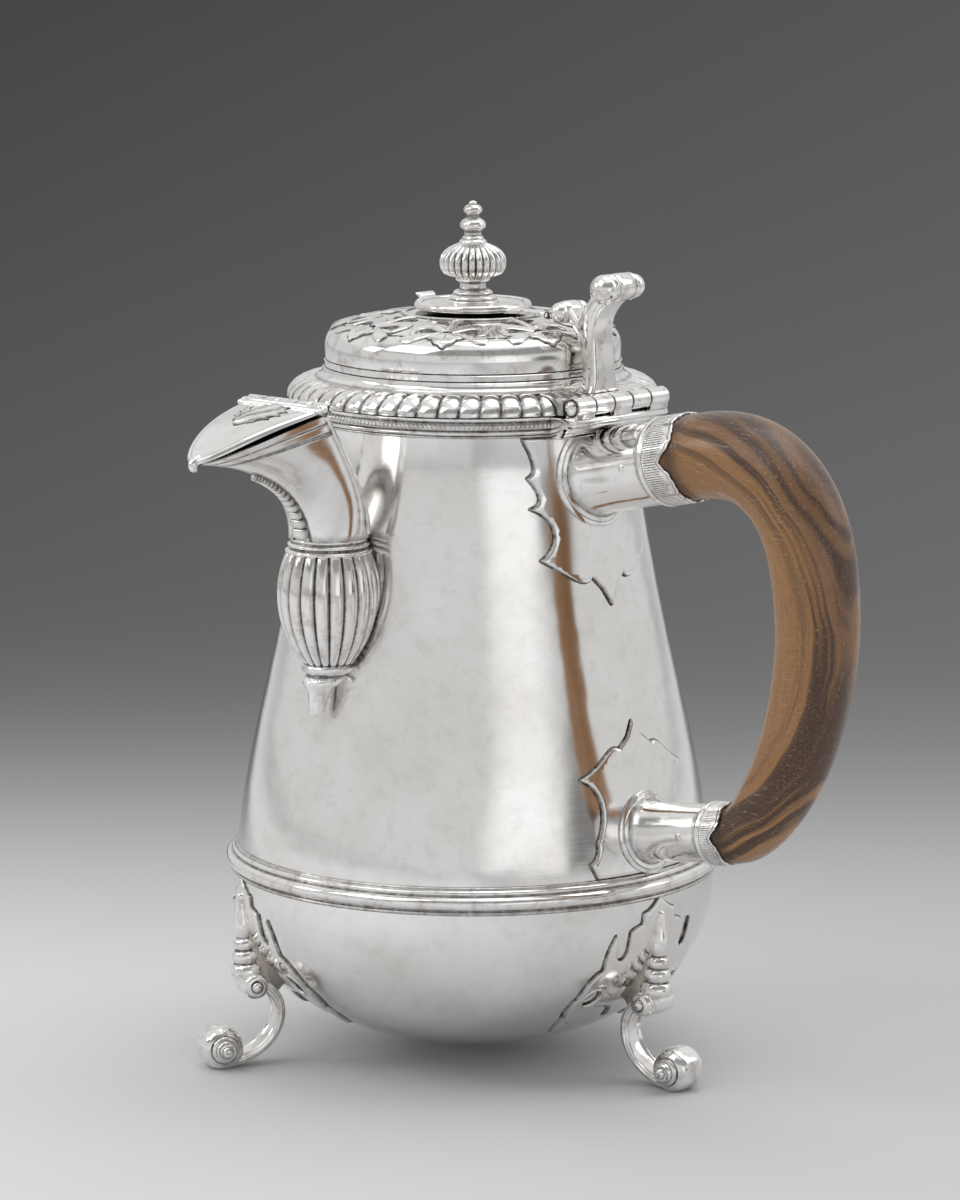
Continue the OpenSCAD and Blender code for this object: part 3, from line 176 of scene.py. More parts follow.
def sums(tree, kind, *values, **settings):
    """Arithmetic: ADD, MULTIPLY, MAXIMUM, or MULTIPLY_ADD for the first times the second plus the third."""
    return wired(tree, "Math", dict(enumerate(values)), operation=kind, **settings).outputs[0]


def stored(tree, name):
    """A value kept at each point of the mesh."""
    return wired(tree, "Attribute", attribute_name=name).outputs["Fac"]


def silver(name, tone, gloss, dent, finish, tarnish, brush=(60, 60, 2600)):
    """Old silver: a bright metal whose tone drifts a little, with thin warm patches of tarnish, dark where
    dirt has gathered and where shade is painted in along edges and round parts, with shallow hammer dents and
    a fine grain of scratches drawn out along the brush."""
    dull, warm, black = (0.9, 0.885, 0.86), (0.36, 0.31, 0.265, 1), (0.05, 0.043, 0.036, 1)
    coat, tree, shader, place = blank(name, finish)
    scratch = noise(tree, drawn(tree, place, brush), 1, 5, 0.75)
    clean = wired(tree, "ValToRGB", {"Fac": noise(tree, place, 34, 4, 0.6)})
    first, last = clean.color_ramp.elements
    first.position, last.position = 0.34, 0.66
    first.color, last.color = (*(a * b for a, b in zip(tone, dull)), 1), (*tone, 1)
    patches = spread(tree, noise(tree, place, 210, 4, 0.65), 0.5, 0.68, 0.0, tarnish)
    patchy = spread(tree, noise(tree, place, 620, 3, 0.7), 0.3, 0.7, 0.55, 1.25)
    # The stored value darkens towards black: dirt in hollows, and painted shade where a piece sets it.
    grime_and_shade = sums(tree, "MULTIPLY", stored(tree, "dirt"), patchy, use_clamp=True)
    tree.links.new(blend(tree, grime_and_shade, blend(tree, patches, clean.outputs[0], warm), black),
                   shader.inputs["Base Color"])
    worn = spread(tree, scratch, 0.3, 0.75, gloss, gloss + 0.1)
    tree.links.new(sums(tree, "MULTIPLY_ADD", grime_and_shade, 0.45, worn), shader.inputs["Roughness"])
    hammer = wired(tree, "Bump", {"Height": noise(tree, place, 75, 1), "Distance": dent * mm})
    fine = wired(tree, "Bump", {"Height": scratch, "Distance": 0.006 * mm, "Normal": hammer.outputs[0]})
    tree.links.new(fine.outputs[0], shader.inputs["Normal"])
    shader.inputs["Metallic"].default_value = 1.0
    return coat


sheet_silver = silver("sheet_silver", (0.93, 0.924, 0.915), 0.07, 0.2, "silver_sheet", 0.12)
bright_silver = silver("bright_silver", (0.94, 0.934, 0.925), 0.05, 0.14, "silver_cast", 0.55,
                       (300, 300, 1400))


def bowl_line(out):
    """The bowl's profile, a circle made a little squarer, at a distance out from its surface."""
    u = np.radians(np.concatenate([np.linspace(0.5, 80, 70), np.linspace(81, 90, 10)]))
    across, down = np.sin(u) ** (2 / bowl_full), np.cos(u) ** (2 / bowl_full)
    return np.stack([(bowl_r + out) * across, bowl_z - (bowl_deep + out) * down], -1)


bowl_profile = np.vstack([bowl_line(0), [[bowl_r, seam_z], [bowl_r - sheet, seam_z]],
                          bowl_line(-sheet)[::-1]])
bowl = lathe(bowl_profile, 224)
turn = np.arctan2(bowl[..., 1], bowl[..., 0])
height = bowl[..., 2]
uneven = np.sin(height / 60 * math.pi) * (0.12 * np.sin(3 * turn + 1) + 0.07 * np.sin(7 * turn + height / 9))
bowl[..., :2] *= (1 - np.abs(uneven) / bowl_r)[..., None]
make("bowl_shell", [cover(bowl)], sheet_silver, "pot", ["bowl"])

# Upper body: a pear-shaped shell raised from sheet, a little uneven from the hammer.
# Rows of small holes behind the spout let the drink through and hold the grounds back.
neck_z, mouth_z = 192.8, 199.4
belly_r, neck_r = bowl_r - sheet - 0.05, 49.2
pear = [(belly_r, seam_z), (belly_r - 0.3, 93.8), (neck_r - 0.2, 149.8), (neck_r, neck_z)]


def ramp(x, start, width):
    """A share that climbs from 0 at the start to 1 a width further on, or back for a width under 0."""
    return np.clip((x - start) / width, 0, 1)


def bell(x, at, width):
    """A share that is 1 at one value and falls away smoothly on both sides of it."""
    return np.exp(-((x - at) / width) ** 2)


def bezier(points, t):
    """Points of a cubic curve at parameters t."""
    p = [np.asarray(q, float) for q in points]
    t = np.asarray(t, float)[..., None]
    return (1 - t) ** 3 * p[0] + 3 * (1 - t) ** 2 * t * p[1] + 3 * (1 - t) * t * t * p[2] + t ** 3 * p[3]


pear_line = bezier(pear, np.linspace(0, 1, 110))


def body_r(z):
    """Radius of the upper body at a height."""
    return np.interp(z, pear_line[:, 1], pear_line[:, 0])


body_profile = np.vstack([[[belly_r, seam_z - 4]], pear_line, [[neck_r, mouth_z], [48, mouth_z]],
                          pear_line[::-1] - [sheet, 0], [[belly_r - sheet, seam_z - 4]]])
body = lathe(body_profile, 384)
turn, height = np.arctan2(body[..., 1], body[..., 0]), body[..., 2]
uneven = (0.09 * np.sin(2 * turn + 0.6) + 0.06 * np.sin(5 * turn + height / 21)
          + 0.05 * np.sin(9 * turn - height / 11))
uneven = ramp(height, seam_z, 12) * ramp(height, neck_z, -18) * (0.2 + uneven)
body[..., :2] *= (1 - uneven / 70)[..., None]

# Dirt lies in the seam round the bulb, and painted shade fades out over the body around it; dirt lies over
# the belt too. The bulb's outline is its half width at heights.
bulb_y, bulb_z, bulb_low, bulb_top = -61.5, 146.5, 109, 165
bulb_edge = np.interp(height, [bulb_low, 112, 124, 127, 135, bulb_z, 158, 159, 164.5, bulb_top],
                      [2, 3, 6, 10, 13.5, 15.3, 13, 12.8, 12, 0])
beyond = np.maximum(0, bulb_low - height) + np.maximum(0, height - bulb_top)
gap = np.maximum(np.hypot(body[..., 0], body[..., 1] - bulb_y) - bulb_edge, 0) + beyond
# A dark seam line of dirt at the bulb's edge, and painted shade that fades out over the body round the bulb.
bulb_seam_dirt_and_shade = np.clip((height - 122) / 6, 0.15, 1) * (0.75 * bell(gap, 0, 0.7) + 0.2 * np.exp(-gap / 5))
by_belt = 0.14 * bell(height, seam_z + 2, 1.6) * (1 + np.sin(9 * turn) * np.sin(23 * turn + 2))
skin = cover(body, np.clip(bulb_seam_dirt_and_shade + by_belt, 0, 1), loop=True)
shell = make("body_shell", [skin], sheet_silver, "pot", ["body_wall"])

pitch, hole_r, drill_long = 4.6, 1.5, 12
holes = [(k - (4 - abs(row)) / 2, row * 0.87) for row in range(-2, 3) for k in range(5 - abs(row))]
bit = lathe([[hole_r, 0], [hole_r, drill_long]], 20)[..., [0, 2, 1]]
bit = bit - [0, drill_long / 2 + body_r(bulb_z), -bulb_z]
cutter = make("drill", [cover(bit + [x * pitch, 0, z * pitch]) for x, z in holes], sheet_silver, "pot", [])
cut = shell.modifiers.new("strainer", "BOOLEAN")
cut.object, cut.operation, cut.solver = cutter, "DIFFERENCE", "EXACT"
bpy.context.view_layer.update()
pierced = bpy.data.meshes.new_from_object(shell.evaluated_get(bpy.context.evaluated_depsgraph_get()))
shell.modifiers.clear()
shell.data = pierced
bpy.data.objects.remove(cutter)

# Belt moulding: a drawn wire of reed, broad bead and fillets, bent round the body and soldered over the seam.
on_bowl_edge = [[bowl_r - 0.2, 56.7], [bowl_r + 0.5, 56.75], *arc(bowl_r + 0.35, 57.25, 0.5, -60, 75, 5)]
bead = [[bowl_r + 0.3, 57.85], *arc(bowl_r + 0.05, 60.3, 2.05, -72, 68, 11), [bowl_r + 0.1, 62.35]]
on_belly = [*arc(belly_r + 0.85, 63.2, 0.75, -50, 70, 6), [belly_r + 0.75, 64.1], [belly_r + 0.7, 64.75],
            [belly_r + 0.05, 64.95], [belly_r - 0.3, 64.9], [belly_r - 0.3, 57]]
belt_line = eased([*on_bowl_edge, *bead, *on_belly], 1)
dirt = np.interp(belt_line[:, 1], [56.7, 57.6, 57.85, 58.2, 62.1, 62.4, 62.7, 63.9, 64.1, 64.4, 64.9, 65],
                 [0.7, 0.3, 0.9, 0, 0, 0.9, 0, 0, 0.8, 0.1, 0.5, 0.9])
make("belt", [cover(lathe(belt_line, 256), dirt[:, None], loop=True)], bright_silver, "pot",
     ["belt_moulding"])

# Rim moulding: steps, a fine toothed band and a bead round the mouth, soldered to the neck.
bead_out, band_up, tooth_pairs, tooth_deep = 1.05, 3.8, 120, 0.18
rim_line = eased([[-0.3, -0.02], *arc(0.5, 0.45, 0.45, -85, 75, 6), [0.5, 0.95],
                  *arc(bead_out, 1.7, 0.7, -75, 75, 7), [1.2, 2.45], [2.4, 2.7],
                  *arc(2.15, band_up, 1.15, -60, 60, 7), [2.6, 5], [3.3, 5.3], [3.75, 5.7], [3.75, 6.2],
                  [3.5, 6.55], [-0.3, 6.55]], 1)
rim = lathe(rim_line + [neck_r, neck_z], 8 * tooth_pairs)
band = np.abs(rim_line[:, 1:] - band_up) < 0.8
between = band * (1 - np.abs(np.sin(circle(8 * tooth_pairs) * tooth_pairs)) ** 0.6)
rim[..., :2] *= (1 - between * tooth_deep / 51)[..., None]
dirt = np.interp(rim_line[:, 1:], [0, 0.9, 0.97, 1.1, 2.3, 2.5, 2.75, 4.8, 5, 5.3],
                 [0.6, 0.1, 0.9, 0, 0.2, 0.9, 0.2, 0.4, 0.9, 0])
make("rim", [cover(rim, np.maximum(between * 0.6, dirt), loop=True)], bright_silver, "pot", ["rim_moulding"])

# Lid hinge, fixed half: a moulded seat soldered to the rim, three knuckles on it, and a pin with domed ends.
hinge_x, hinge_z, barrel_r, hinge_half, knuckle, play = 57.5, 202.3, 2.9, 20.0, 8.0, 0.15


def turned(profile, origin, axis, columns=48):
    """Grid of a profile of radii and distances carried round any axis through a point."""
    r, s = np.asarray(profile, float).T
    axis = np.asarray(axis, float) / np.linalg.norm(axis)
    first = np.cross(axis, [0.0, 0.0, 1.0] if abs(axis[2]) < 0.9 else [1.0, 0.0, 0.0])
    first /= np.linalg.norm(first)
    turn = circle(columns)
    round_it = np.cos(turn)[:, None] * first + np.sin(turn)[:, None] * np.cross(axis, first)
    return np.asarray(origin, float) + s[:, None, None] * axis + np.maximum(r, 0.01)[:, None, None] * round_it


def bar(outline, y0, y1, soft=0.25, rows=2):
    """Grid of a closed outline of x and z points carried sideways, with both ends drawn in to soften them."""
    outline = np.asarray(outline, float)
    middle = outline.mean(0)
    away = outline - middle
    away *= soft / np.linalg.norm(away, axis=1)[:, None]
    at = np.concatenate([[y0, y0 + soft * 0.3], np.linspace(y0 + soft, y1 - soft, rows),
                         [y1 - soft * 0.3, y1]])
    shrink = np.array([1, 0.3] + [0] * rows + [0.3, 1])
    flat = outline[None] - away[None] * shrink[:, None, None]
    return np.stack([flat[..., 0], np.broadcast_to(at[:, None], flat.shape[:2]), flat[..., 1]], -1)


def knuckle_line(r, long, wall, soft, flat):
    """Profile of a round bar with softened ends, from one end to the other."""
    half = [[r - wall, 0], [r - flat, 0.02], [r, soft]]
    return half + [[q, long - s] for q, s in half[::-1]]


def barrel(y0, y1, r=barrel_r, x=hinge_x, z=hinge_z):
    """A knuckle: a short round bar along the hinge with softened ends, dark where it meets its neighbours."""
    line = knuckle_line(r, y1 - y0, 0.9, 0.22, 0.25)
    line[3:3] = [[r, 0.5], [r, y1 - y0 - 0.5]]
    return cover(turned(line, (x, y0, z), (0, 1, 0), 56), np.array([1, 1, 0.45, 0, 0, 0.45, 1, 1])[:, None])


seat = np.array([[49.6, 199.05], [49.6, 192.95], [54, 192.9], *arc(53.3, 194.75, 1, -75, 62, 7),
                 [54.1, 195.6], *arc(55.8, 196.1, 1, -75, 62, 7), [56.8, 197],
                 *arc(58.6, 197.95, 1.1, -80, 90, 8)])
seat_top = [[55.2, 199.02], [59.8, 199.02], [59.6, 201.5], [55.4, 201.5]]
make("hinge_seat", [cover(bar(seat, -hinge_half, hinge_half))], bright_silver, "pot", ["hinge_bracket"], 30)
fixed = []
for k in (0, 2, 4):
    y = -hinge_half + knuckle * k
    fixed += [barrel(y + (play if k else 0), y + knuckle - (play if k < 4 else 0)),
              cover(bar(seat_top, y + 0.2, y + knuckle - 0.2, 0.1))]
make("fixed_knuckles", fixed, bright_silver, "pot", ["body_hinge_knuckles"])
head = eased([[1.1, -0.6], [2.15, 0.06], [2.15, 0.35], [1.5, 0.95], [0.3, 1.2]], 2)
ends = [cover(turned(head, (hinge_x, side * hinge_half, hinge_z), (0, side, 0), 32),
              np.linspace(1, 0, len(head))[:, None] ** 2) for side in (-1, 1)]
ends.append(cover(turned([[1.1, -20.3], [1.1, 20.3]], (hinge_x, 0, hinge_z), (0, 1, 0), 24)))
make("lid_pin", ends, bright_silver, "pot", ["lid_hinge_pin"])

# Lid: raised in one piece, with a flange, two engraved lines round its drum, a soft shoulder and a shallow
# dome. The stirring hole is cut through its middle.
lid_z, crown_z, dome_ball, hole_wide, line_heights = 199.7, 225.3, 169.07, 9.5, (208.6, 210.75)


def dome_at(r):
    """Height of the shallow dome, a part of a large ball, at a distance from its middle."""
    return crown_z - dome_ball + np.sqrt(dome_ball ** 2 - r * r)


def dome_line(start, end, n):
    """Profile of the dome's skin from one distance to another."""
    r = np.linspace(start, end, n)
    return np.stack([r, dome_at(r)], -1)


step_curve = bezier([(46.5, 205.8), (45.2, 206.3), (44.8, 207.1), (44.8, 208.2)], np.linspace(0, 1, 9))
shoulder = bezier([(44.3, 213.8), (44.3, 217.6), (42.6, 219.9), (39.6, 220.62)], np.linspace(0, 1, 22))
lid_side = np.array([[47.38, 199.75], [47.38, 205.3], [46.6, 205.75], *step_curve, [44.55, 208.45],
                     [44.1, 208.6], [44.42, 208.85], [44.42, 210.35], [44.2, 210.6], [43.9, 210.75],
                     [44.25, 211], [44.3, 211.6], *shoulder])
inside = [dome_line(hole_wide, hole_wide, 1) - [0, sheet], dome_line(10, 38.6, 24) - [0, sheet],
          [[41.4, 217.5], [42.6, 214.5], [42.6, 207], [44, 205], [46.2, 204], [46.2, 199.75]]]
lid_line = np.vstack([lid_side, dome_line(39, hole_wide, 50), *inside])
lid = lathe(lid_line, 256)
turn = np.arctan2(lid[..., 1], lid[..., 0])
uneven = 0.05 + 0.025 * np.sin(3 * turn) + 0.025 * np.sin(8 * turn + lid[..., 0] / 6)
lid[..., 2] -= ramp(lid[..., 2], 211.5, 3) * uneven
dirt = np.zeros(len(lid_line))
for line_z in line_heights:
    dirt[:30] = np.maximum(dirt[:30], np.clip(1 - np.abs(lid_line[:30, 1] - line_z) / 0.24, 0, 1))
dirt[:4] = 0.5
make("lid_shell", [cover(lid, dirt[:, None], loop=True)], bright_silver, "lid", ["lid_dome"])
bezel_line = eased([[47.35, 199.8], [47.35, 195.1], [46.9, 194.5], [46.3, 194.5], [46.2, 195],
                    [46.2, 199.8]], 1)
make("bezel", [cover(lathe(bezel_line), loop=True)], sheet_silver, "lid", ["lid_bezel"])

# Gadrooned border: a cast strip of slanted lobes soldered round the lid's flange, left open for the hinge.
lobes, groove, slant = 56, 1.25, 0.13
strip_r, strip_wide, strip_high, open_half = 47.9, 7.6, 5.75, 20.3
along = np.linspace(0, 1, lobes * 16)[:, None]
rise = np.radians(np.concatenate([[-4], np.linspace(2, 98, 16)]))[None, :]
open_at = np.arcsin(open_half / (strip_r + (strip_wide - 0.2) * np.cos(rise)))
turn = open_at + (tau - 2 * open_at) * along
part = np.modf(lobes * turn / tau - slant * rise / (math.pi / 2) + 40)[0]
wave = np.sqrt(np.clip(1 - (2 * part - 1) ** 2, 0, 1))
dent = (1 - wave) * groove * (0.35 + 0.65 * np.sin(np.clip(rise, 0.3, math.pi / 2 + 0.1)))
lobe_r = strip_r + (strip_wide - dent) * np.cos(rise)
lobe_z = lid_z + 0.05 + (strip_high - dent) * np.maximum(np.sin(rise), 0)
one = np.ones_like(along)
lobe_r = np.hstack([one * 47.45, one * 54.1, lobe_r, one * 47.45])
lobe_z = np.hstack([one * (lid_z + 0.02), one * (lid_z + 0.02), lobe_z, one * 205.0])
turn = np.hstack([turn[:, :1], turn[:, :1], turn, turn[:, -1:]])
dirt = np.hstack([one, one, np.clip((1 - wave) * 2.4 - 0.5, 0, 1), one])
border = np.stack([lobe_r * np.cos(turn), lobe_r * np.sin(turn), lobe_z], -1)
make("lobed_border", [cover(border, dirt)], bright_silver, "lid", ["lid_border"], 60)

# Lid hinge, moving half: a plate fluted like a fan behind the
# barrel, with the two lid knuckles on its front edge.
leaf_in, leaf_out, plain_half = 45.2, 54.25, 6.4
leaf_x, leaf_y = np.meshgrid(np.linspace(leaf_in, leaf_out, 22), np.linspace(-19.9, 19.9, 161), indexing="ij")
start = ramp(leaf_x, 46.5, 2)
fan = np.abs(np.sin(np.arctan2(leaf_y, leaf_x - 22) * 26)) * start * ramp(leaf_x, 54.1, -0.8)
fan = np.where(np.abs(leaf_y) < plain_half, 1.0, fan)
fan_z = 205.65 - (leaf_x - leaf_in) * 0.1 - 0.55 * (1 - fan) ** 1.5 * start
under = np.where(np.arange(22) < 3, 205.0, 199.85)[:, None] + 0 * leaf_y
wall = np.concatenate([np.stack([leaf_x, leaf_y, fan_z], -1),
                       np.stack([leaf_x, leaf_y, under], -1)[:, ::-1]], 1)
soil = (1 - fan) ** 2 * (np.abs(leaf_y) > plain_half) * ramp(leaf_x, 46, 2) * 0.9
moving = [cover(wall, np.concatenate([soil, 0.6 + 0 * soil], 1))]
leaf_front = [[53.6, 200.2], [57.2, 200], [57.2, 204.9], [53.6, 204.6]]
for k in (1, 3):
    y = -hinge_half + knuckle * k
    moving += [barrel(y + play, y + knuckle - play), cover(bar(leaf_front, y + 0.2, y + knuckle - 0.2, 0.15))]
make("hinge_fan", moving, bright_silver, "lid", ["lid_hinge_leaf"], 50)

# Cut card on the lid: leaves, petals and scrolls sawn from thin sheet and soldered down in a ring, with open
# slots between them where old polish has gathered.


def run(line):
    """How far along a line of points each of them lies."""
    return np.concatenate([[0], np.cumsum(np.linalg.norm(np.diff(line, axis=0), axis=1))])


lid_path = np.vstack([dome_line(0, 39, 60), lid_side[::-1][:23]])
lid_far = run(lid_path)
lid_way = np.gradient(lid_path, axis=0)
lid_way /= np.linalg.norm(lid_way, axis=1)[:, None]


def on_dome(x, y, h):
    """A place on the lid, reached by going out from its middle along its curved skin, and h above it."""
    far = np.maximum(np.hypot(x, y), 1e-6)
    r, z, dr, dz = (np.interp(far, lid_far, line[:, n]) for line in (lid_path, lid_way) for n in (0, 1))
    r = r - dz * h
    return np.stack([x / far * r, y / far * r, z + dr * h], -1)


def petal(place, line, half, thick, dirt=0.0, ridge=0.0):
    """A strip of sheet laid along a line on a surface: half its width at each point, a rounded edge, and a
    ridge along its middle. The line is eased, and its ends draw to a point or a round as the widths say."""
    line = eased(np.column_stack([line, half]), 3)
    far = run(line[:, :2])
    x, y, w = (np.interp(np.linspace(0, far[-1], 40), far, line[:, n])[:, None] for n in range(3))
    dx, dy = np.gradient(x, axis=0), np.gradient(y, axis=0)
    size = np.hypot(dx, dy)
    v = np.linspace(-1, 1, 9)[None, :]
    high = thick * (0.35 + 0.65 * np.sqrt(np.clip(1 - v ** 4, 0, 1))) + ridge * (1 - np.abs(v)) ** 1.4
    face = place(x - dy / size * w * v, y + dx / size * w * v, high + 0 * x)
    under = place(x + dy / size * w * v, y - dx / size * w * v, -0.3 + 0 * x * v)
    edge = np.clip(v ** 6 * 0.5 + dirt + 0 * x, 0, 1)
    return cover(np.concatenate([face, under], 1), np.concatenate([edge, np.ones_like(edge)], 1))


def squares(way):
    """For each direction on the flat, the direction square to it, one long."""
    return np.stack([way[:, 1], -way[:, 0]], -1) / np.maximum(np.linalg.norm(way, axis=1), 1e-9)[:, None]


def depth(p, a, b):
    """Distance from each point to the nearest of the edges from a to b, and whether it lies inside them."""
    ab, ap = b - a, p[:, None] - a
    t = np.clip((ap * ab).sum(-1) / np.maximum((ab * ab).sum(-1), 1e-9), 0, 1)
    near = np.linalg.norm(ap - t[..., None] * ab, axis=-1).min(1)
    level = p[:, None, 1]
    crossed = (a[:, 1] > level) != (b[:, 1] > level)
    x = a[:, 0] + (level - a[:, 1]) * ab[:, 0] / np.where(ab[:, 1] == 0, 1e-9, ab[:, 1])
    return near, ((crossed & (p[:, None, 0] < x)).sum(1) % 2).astype(bool)


def leaf_plate(loop, place, thick, holes=(), step=1.3):
    """A flat plate laid on a surface, cut to a closed outline with holes. Its face rounds over at the edge,
    where painted shade darkens it, and a thin dark line along its foot is partly old polish and partly
    painted shadow. Its inside is filled with a net of points and joined by triangles."""
    rings, edges, start = [], [], 0
    for ring in [loop, *holes]:
        closed = np.vstack([ring, ring[:1]])
        far = run(closed)
        at = np.linspace(0, far[-1], max(8, int(far[-1] / 0.4)), endpoint=False)
        rings.append(np.stack([np.interp(at, far, closed[:, n]) for n in range(2)], -1))
        edges += [(start + k, start + (k + 1) % len(at)) for k in range(len(at))]
        start += len(at)
    rim = np.vstack(rings)
    a, b = rim[[e[0] for e in edges]], rim[[e[1] for e in edges]]

    low, high = rim.min(0), rim.max(0)
    gx, gy = np.meshgrid(np.arange(low[0], high[0], step), np.arange(low[1], high[1], step))
    gx = gx + (np.arange(len(gx)) % 2)[:, None] * step / 2
    beside = np.vstack([(a + b) / 2 + side * inset * squares(b - a)
                        for side in (-1, 1) for inset in (0.16, 0.42)])
    net = np.vstack([beside, np.stack([gx.ravel(), gy.ravel()], -1)])
    near, on = depth(net, a, b)
    net = net[on & (near > np.where(np.arange(len(net)) < len(beside), 0.13, 0.65))]
    spots = [Vector(p) for p in [*rim.tolist(), *net.tolist()]]
    points, _, faces, *_ = delaunay_2d_cdt(spots, edges, [], 0, 1e-5)
    flat, faces = np.array([[p[0], p[1]] for p in points]), np.array([f for f in faces if len(f) == 3])
    faces = faces[depth(flat[faces].mean(1), a, b)[1]]
    near = depth(flat, a, b)[0]

    sides = np.vstack([faces[:, [0, 1]], faces[:, [1, 2]], faces[:, [2, 0]]])
    _, index, count = np.unique(np.sort(sides, axis=1), axis=0, return_index=True, return_counts=True)
    wall = sides[index[count == 1]]
    away = squares(flat[wall[:, 1]] - flat[wall[:, 0]])
    inner = flat[faces].mean(1)[index[count == 1] % len(faces)]
    away *= np.sign(((flat[wall[:, 0]] - inner) * away).sum(1))[:, None]
    out = np.zeros_like(flat)
    np.add.at(out, wall.T, away)
    out /= np.maximum(np.linalg.norm(out, axis=1), 1e-9)[:, None]
    height = thick - 0.4 * thick * (1 - np.minimum(near / 0.42, 1)) ** 2
    skirt = ((0, height), (0.08, 0.06), (0.42, 0.03), (0, -0.35))
    layers = [place(*(flat + past * out).T, up + 0 * near) for past, up in skirt]

    n, k = len(flat), np.arange(3)[:, None] * len(flat)
    left, right = wall[:, 1] + k, wall[:, 0] + k
    quads = np.stack([left, right, right + n, left + n], -1).reshape(-1, 4)
    points, tris = np.vstack(layers), np.vstack([faces, faces[:, ::-1] + 3 * n])
    used = np.zeros(4 * n, bool)
    used[tris.ravel()] = used[quads.ravel()] = True
    kept = np.cumsum(used) - 1
    # Painted shade darkens the plate's top edge; the skirt's dark foot line is partly old polish and partly
    # painted shadow.
    dirt = np.concatenate([np.clip(0.7 * (1 - near / 0.28), 0, 1), np.full(n, 0.8), np.ones(2 * n)])
    return (points[used], *outward(points[used], kept[quads], kept[tris]), dirt[used])


def mirrored(half):
    """A closed outline from its half, given from the middle line round to the middle line."""
    return np.vstack([half, (half * [-1, 1])[::-1]])


shell_leaf = mirrored(eased([[0, 30.2], [1.9, 30.4], [2.3, 31.5], [3.4, 31.4], [5.1, 31.9], [5.5, 33.3],
                             [4.9, 34.8], [3.5, 35.0], [3.4, 36.3], [2.3, 37.4], [1.3, 37.5], [0.7, 38.5],
                             [0, 38.7]], 2))
leaves = [([[30.2, 2.2], [31.0, 4.8], [32.6, 7.8], [33.9, 10.6], [34.2, 12.8]],
           [0.5, 1.2, 2.0, 2.4, 1.5], 0.55),
          ([[29.3, 0.9], [27.2, 3.4], [25.4, 6.8], [26.6, 10.2], [29.8, 10.9], [31.0, 9.4]],
           [1.1, 1.5, 1.5, 1.3, 1.0, 0.3], 0.5)]
slots = [([[29.0, 4.3], [28.0, 6.6], [28.8, 8.8]], [0.4, 1.0, 0.4]),
         ([[24.6, 1.2], [23.0, 3.6], [22.8, 5.8]], [0.5, 1.1, 0.4]),
         ([[31.8, 10.4], [31.6, 12.6], [30.4, 14.6]], [0.3, 0.7, 0.2])]
motifs, first_motif = 8, 31
cards = []
for turn in np.radians(np.arange(motifs) * 360 / motifs + first_motif):
    def here(x, y, h, turn=turn):
        """The dome, with x out from the middle towards this motif and y to its side."""
        x = x + 5.7 * ramp(x, 21.5, 9)
        return on_dome(x * np.cos(turn) - y * np.sin(turn), x * np.sin(turn) + y * np.cos(turn), h)
    cards.append(leaf_plate(shell_leaf, lambda side, out, h: here(out, side, h), 0.6, step=0.9))
    for side in (-1, 1):
        cards += [petal(here, line * np.array([1, side]), half, thick) for line, half, thick in leaves]
        cards += [petal(here, line * np.array([1, side]), half, 0.05, dirt=1) for line, half in slots]
    cards += [petal(here, [[21.0, 0], [23.6, 0], [26.6, 0], [29.6, 0]], [2.2, 1.1, 1.3, 2.0], 0.5,
                    ridge=0.15),
              petal(here, [[31.8, 0], [33.8, 0], [35.6, 0]], [0.1, 0.26, 0.05], 0.66, dirt=0.8)]
ring = lathe([[19.9, -0.3], [19.9, 0.35], [20.15, 0.5], [21.2, 0.5], [21.45, 0.35], [21.45, -0.3]], 160)
ring[..., 2] += dome_at(np.hypot(ring[..., 0], ring[..., 1]))
cards.append(cover(ring, np.array([1, 0.4, 0, 0, 0.4, 1])[:, None], loop=True))
make("lid_card", cards, bright_silver, "lid", ["lid_cut_card"], 50)

# Finial plate: a small stepped disc over the stirring hole, with a lip to lift it by and a tongue that ends
# in its hinge's middle knuckle. Its pin is a short piece of wire.
plate_z, plate_hinge, plate_barrel_r, peg_r = 225.33, (33.0, 226.08), 1.3, 2.05
plate_line = eased([[peg_r, 0], [16.7, 0], [17.5, 0.3], [17.55, 1.2], [17.3, 1.75], [16.9, 2.3], [16.3, 2.35],
                    [15.6, 2.15], [15.1, 1.7], [12, 1.62], [7, 1.75], [peg_r, 1.6]], 1)
dirt = 0.7 * (np.hypot(*(plate_line - [15.1, 1.75]).T) < 0.45) + 0.5 * (plate_line[:, 1] < 0.2)
tongue = [cover(lathe(plate_line, 160, (0, 0, plate_z)), dirt[:, None], loop=True)]
x, v = np.linspace(16.6, 32.2, 26)[:, None], np.linspace(-1, 1, 9)[None, :]
flare = 2.0 + 2.6 * ramp(x, 21, -4.4) ** 2 - ramp(x, 29, 2)
upper = np.stack([x + 0 * v, flare * v, plate_z + 0.9 + 0.55 * (1 - v ** 4) + 0 * x], -1)
lower = np.stack([x + 0 * v, -flare * v, plate_z + 0.02 + 0 * x + 0 * v], -1)
tongue += [cover(np.concatenate([upper, lower], 1)), barrel(-1.08, 1.08, plate_barrel_r, *plate_hinge)]
rising = bezier([(-16.9, 0.6), (-18.6, 0.5), (-18.9, 1.6), (-19.4, 2.6)], np.linspace(0, 1, 7))
returning = bezier([(-18.4, 1), (-18.2, 0.1), (-17.6, 0), (-16.9, 0)], np.linspace(0, 1, 6))
lip = np.vstack([rising, arc(-19.85, 2.1, 1.35, 120, -30, 9), returning]) + [0, plate_z]
tongue.append(cover(bar(lip, -3.5, 3.5, 0.35, 4)))
make("finial_plate_disc", tongue, bright_silver, "finial_cover", ["finial_plate"], 50)
pin_line = eased([[0.1, -4.0], [0.5, -4.0], [0.58, -3.8], [0.58, 3.8], [0.5, 4.0], [0.1, 4.0]], 1)
pin = cover(turned(pin_line, (plate_hinge[0], 0, plate_hinge[1]), (0, 1, 0), 20))
make("plate_pin", [pin], bright_silver, "lid", ["plate_hinge_pin"])

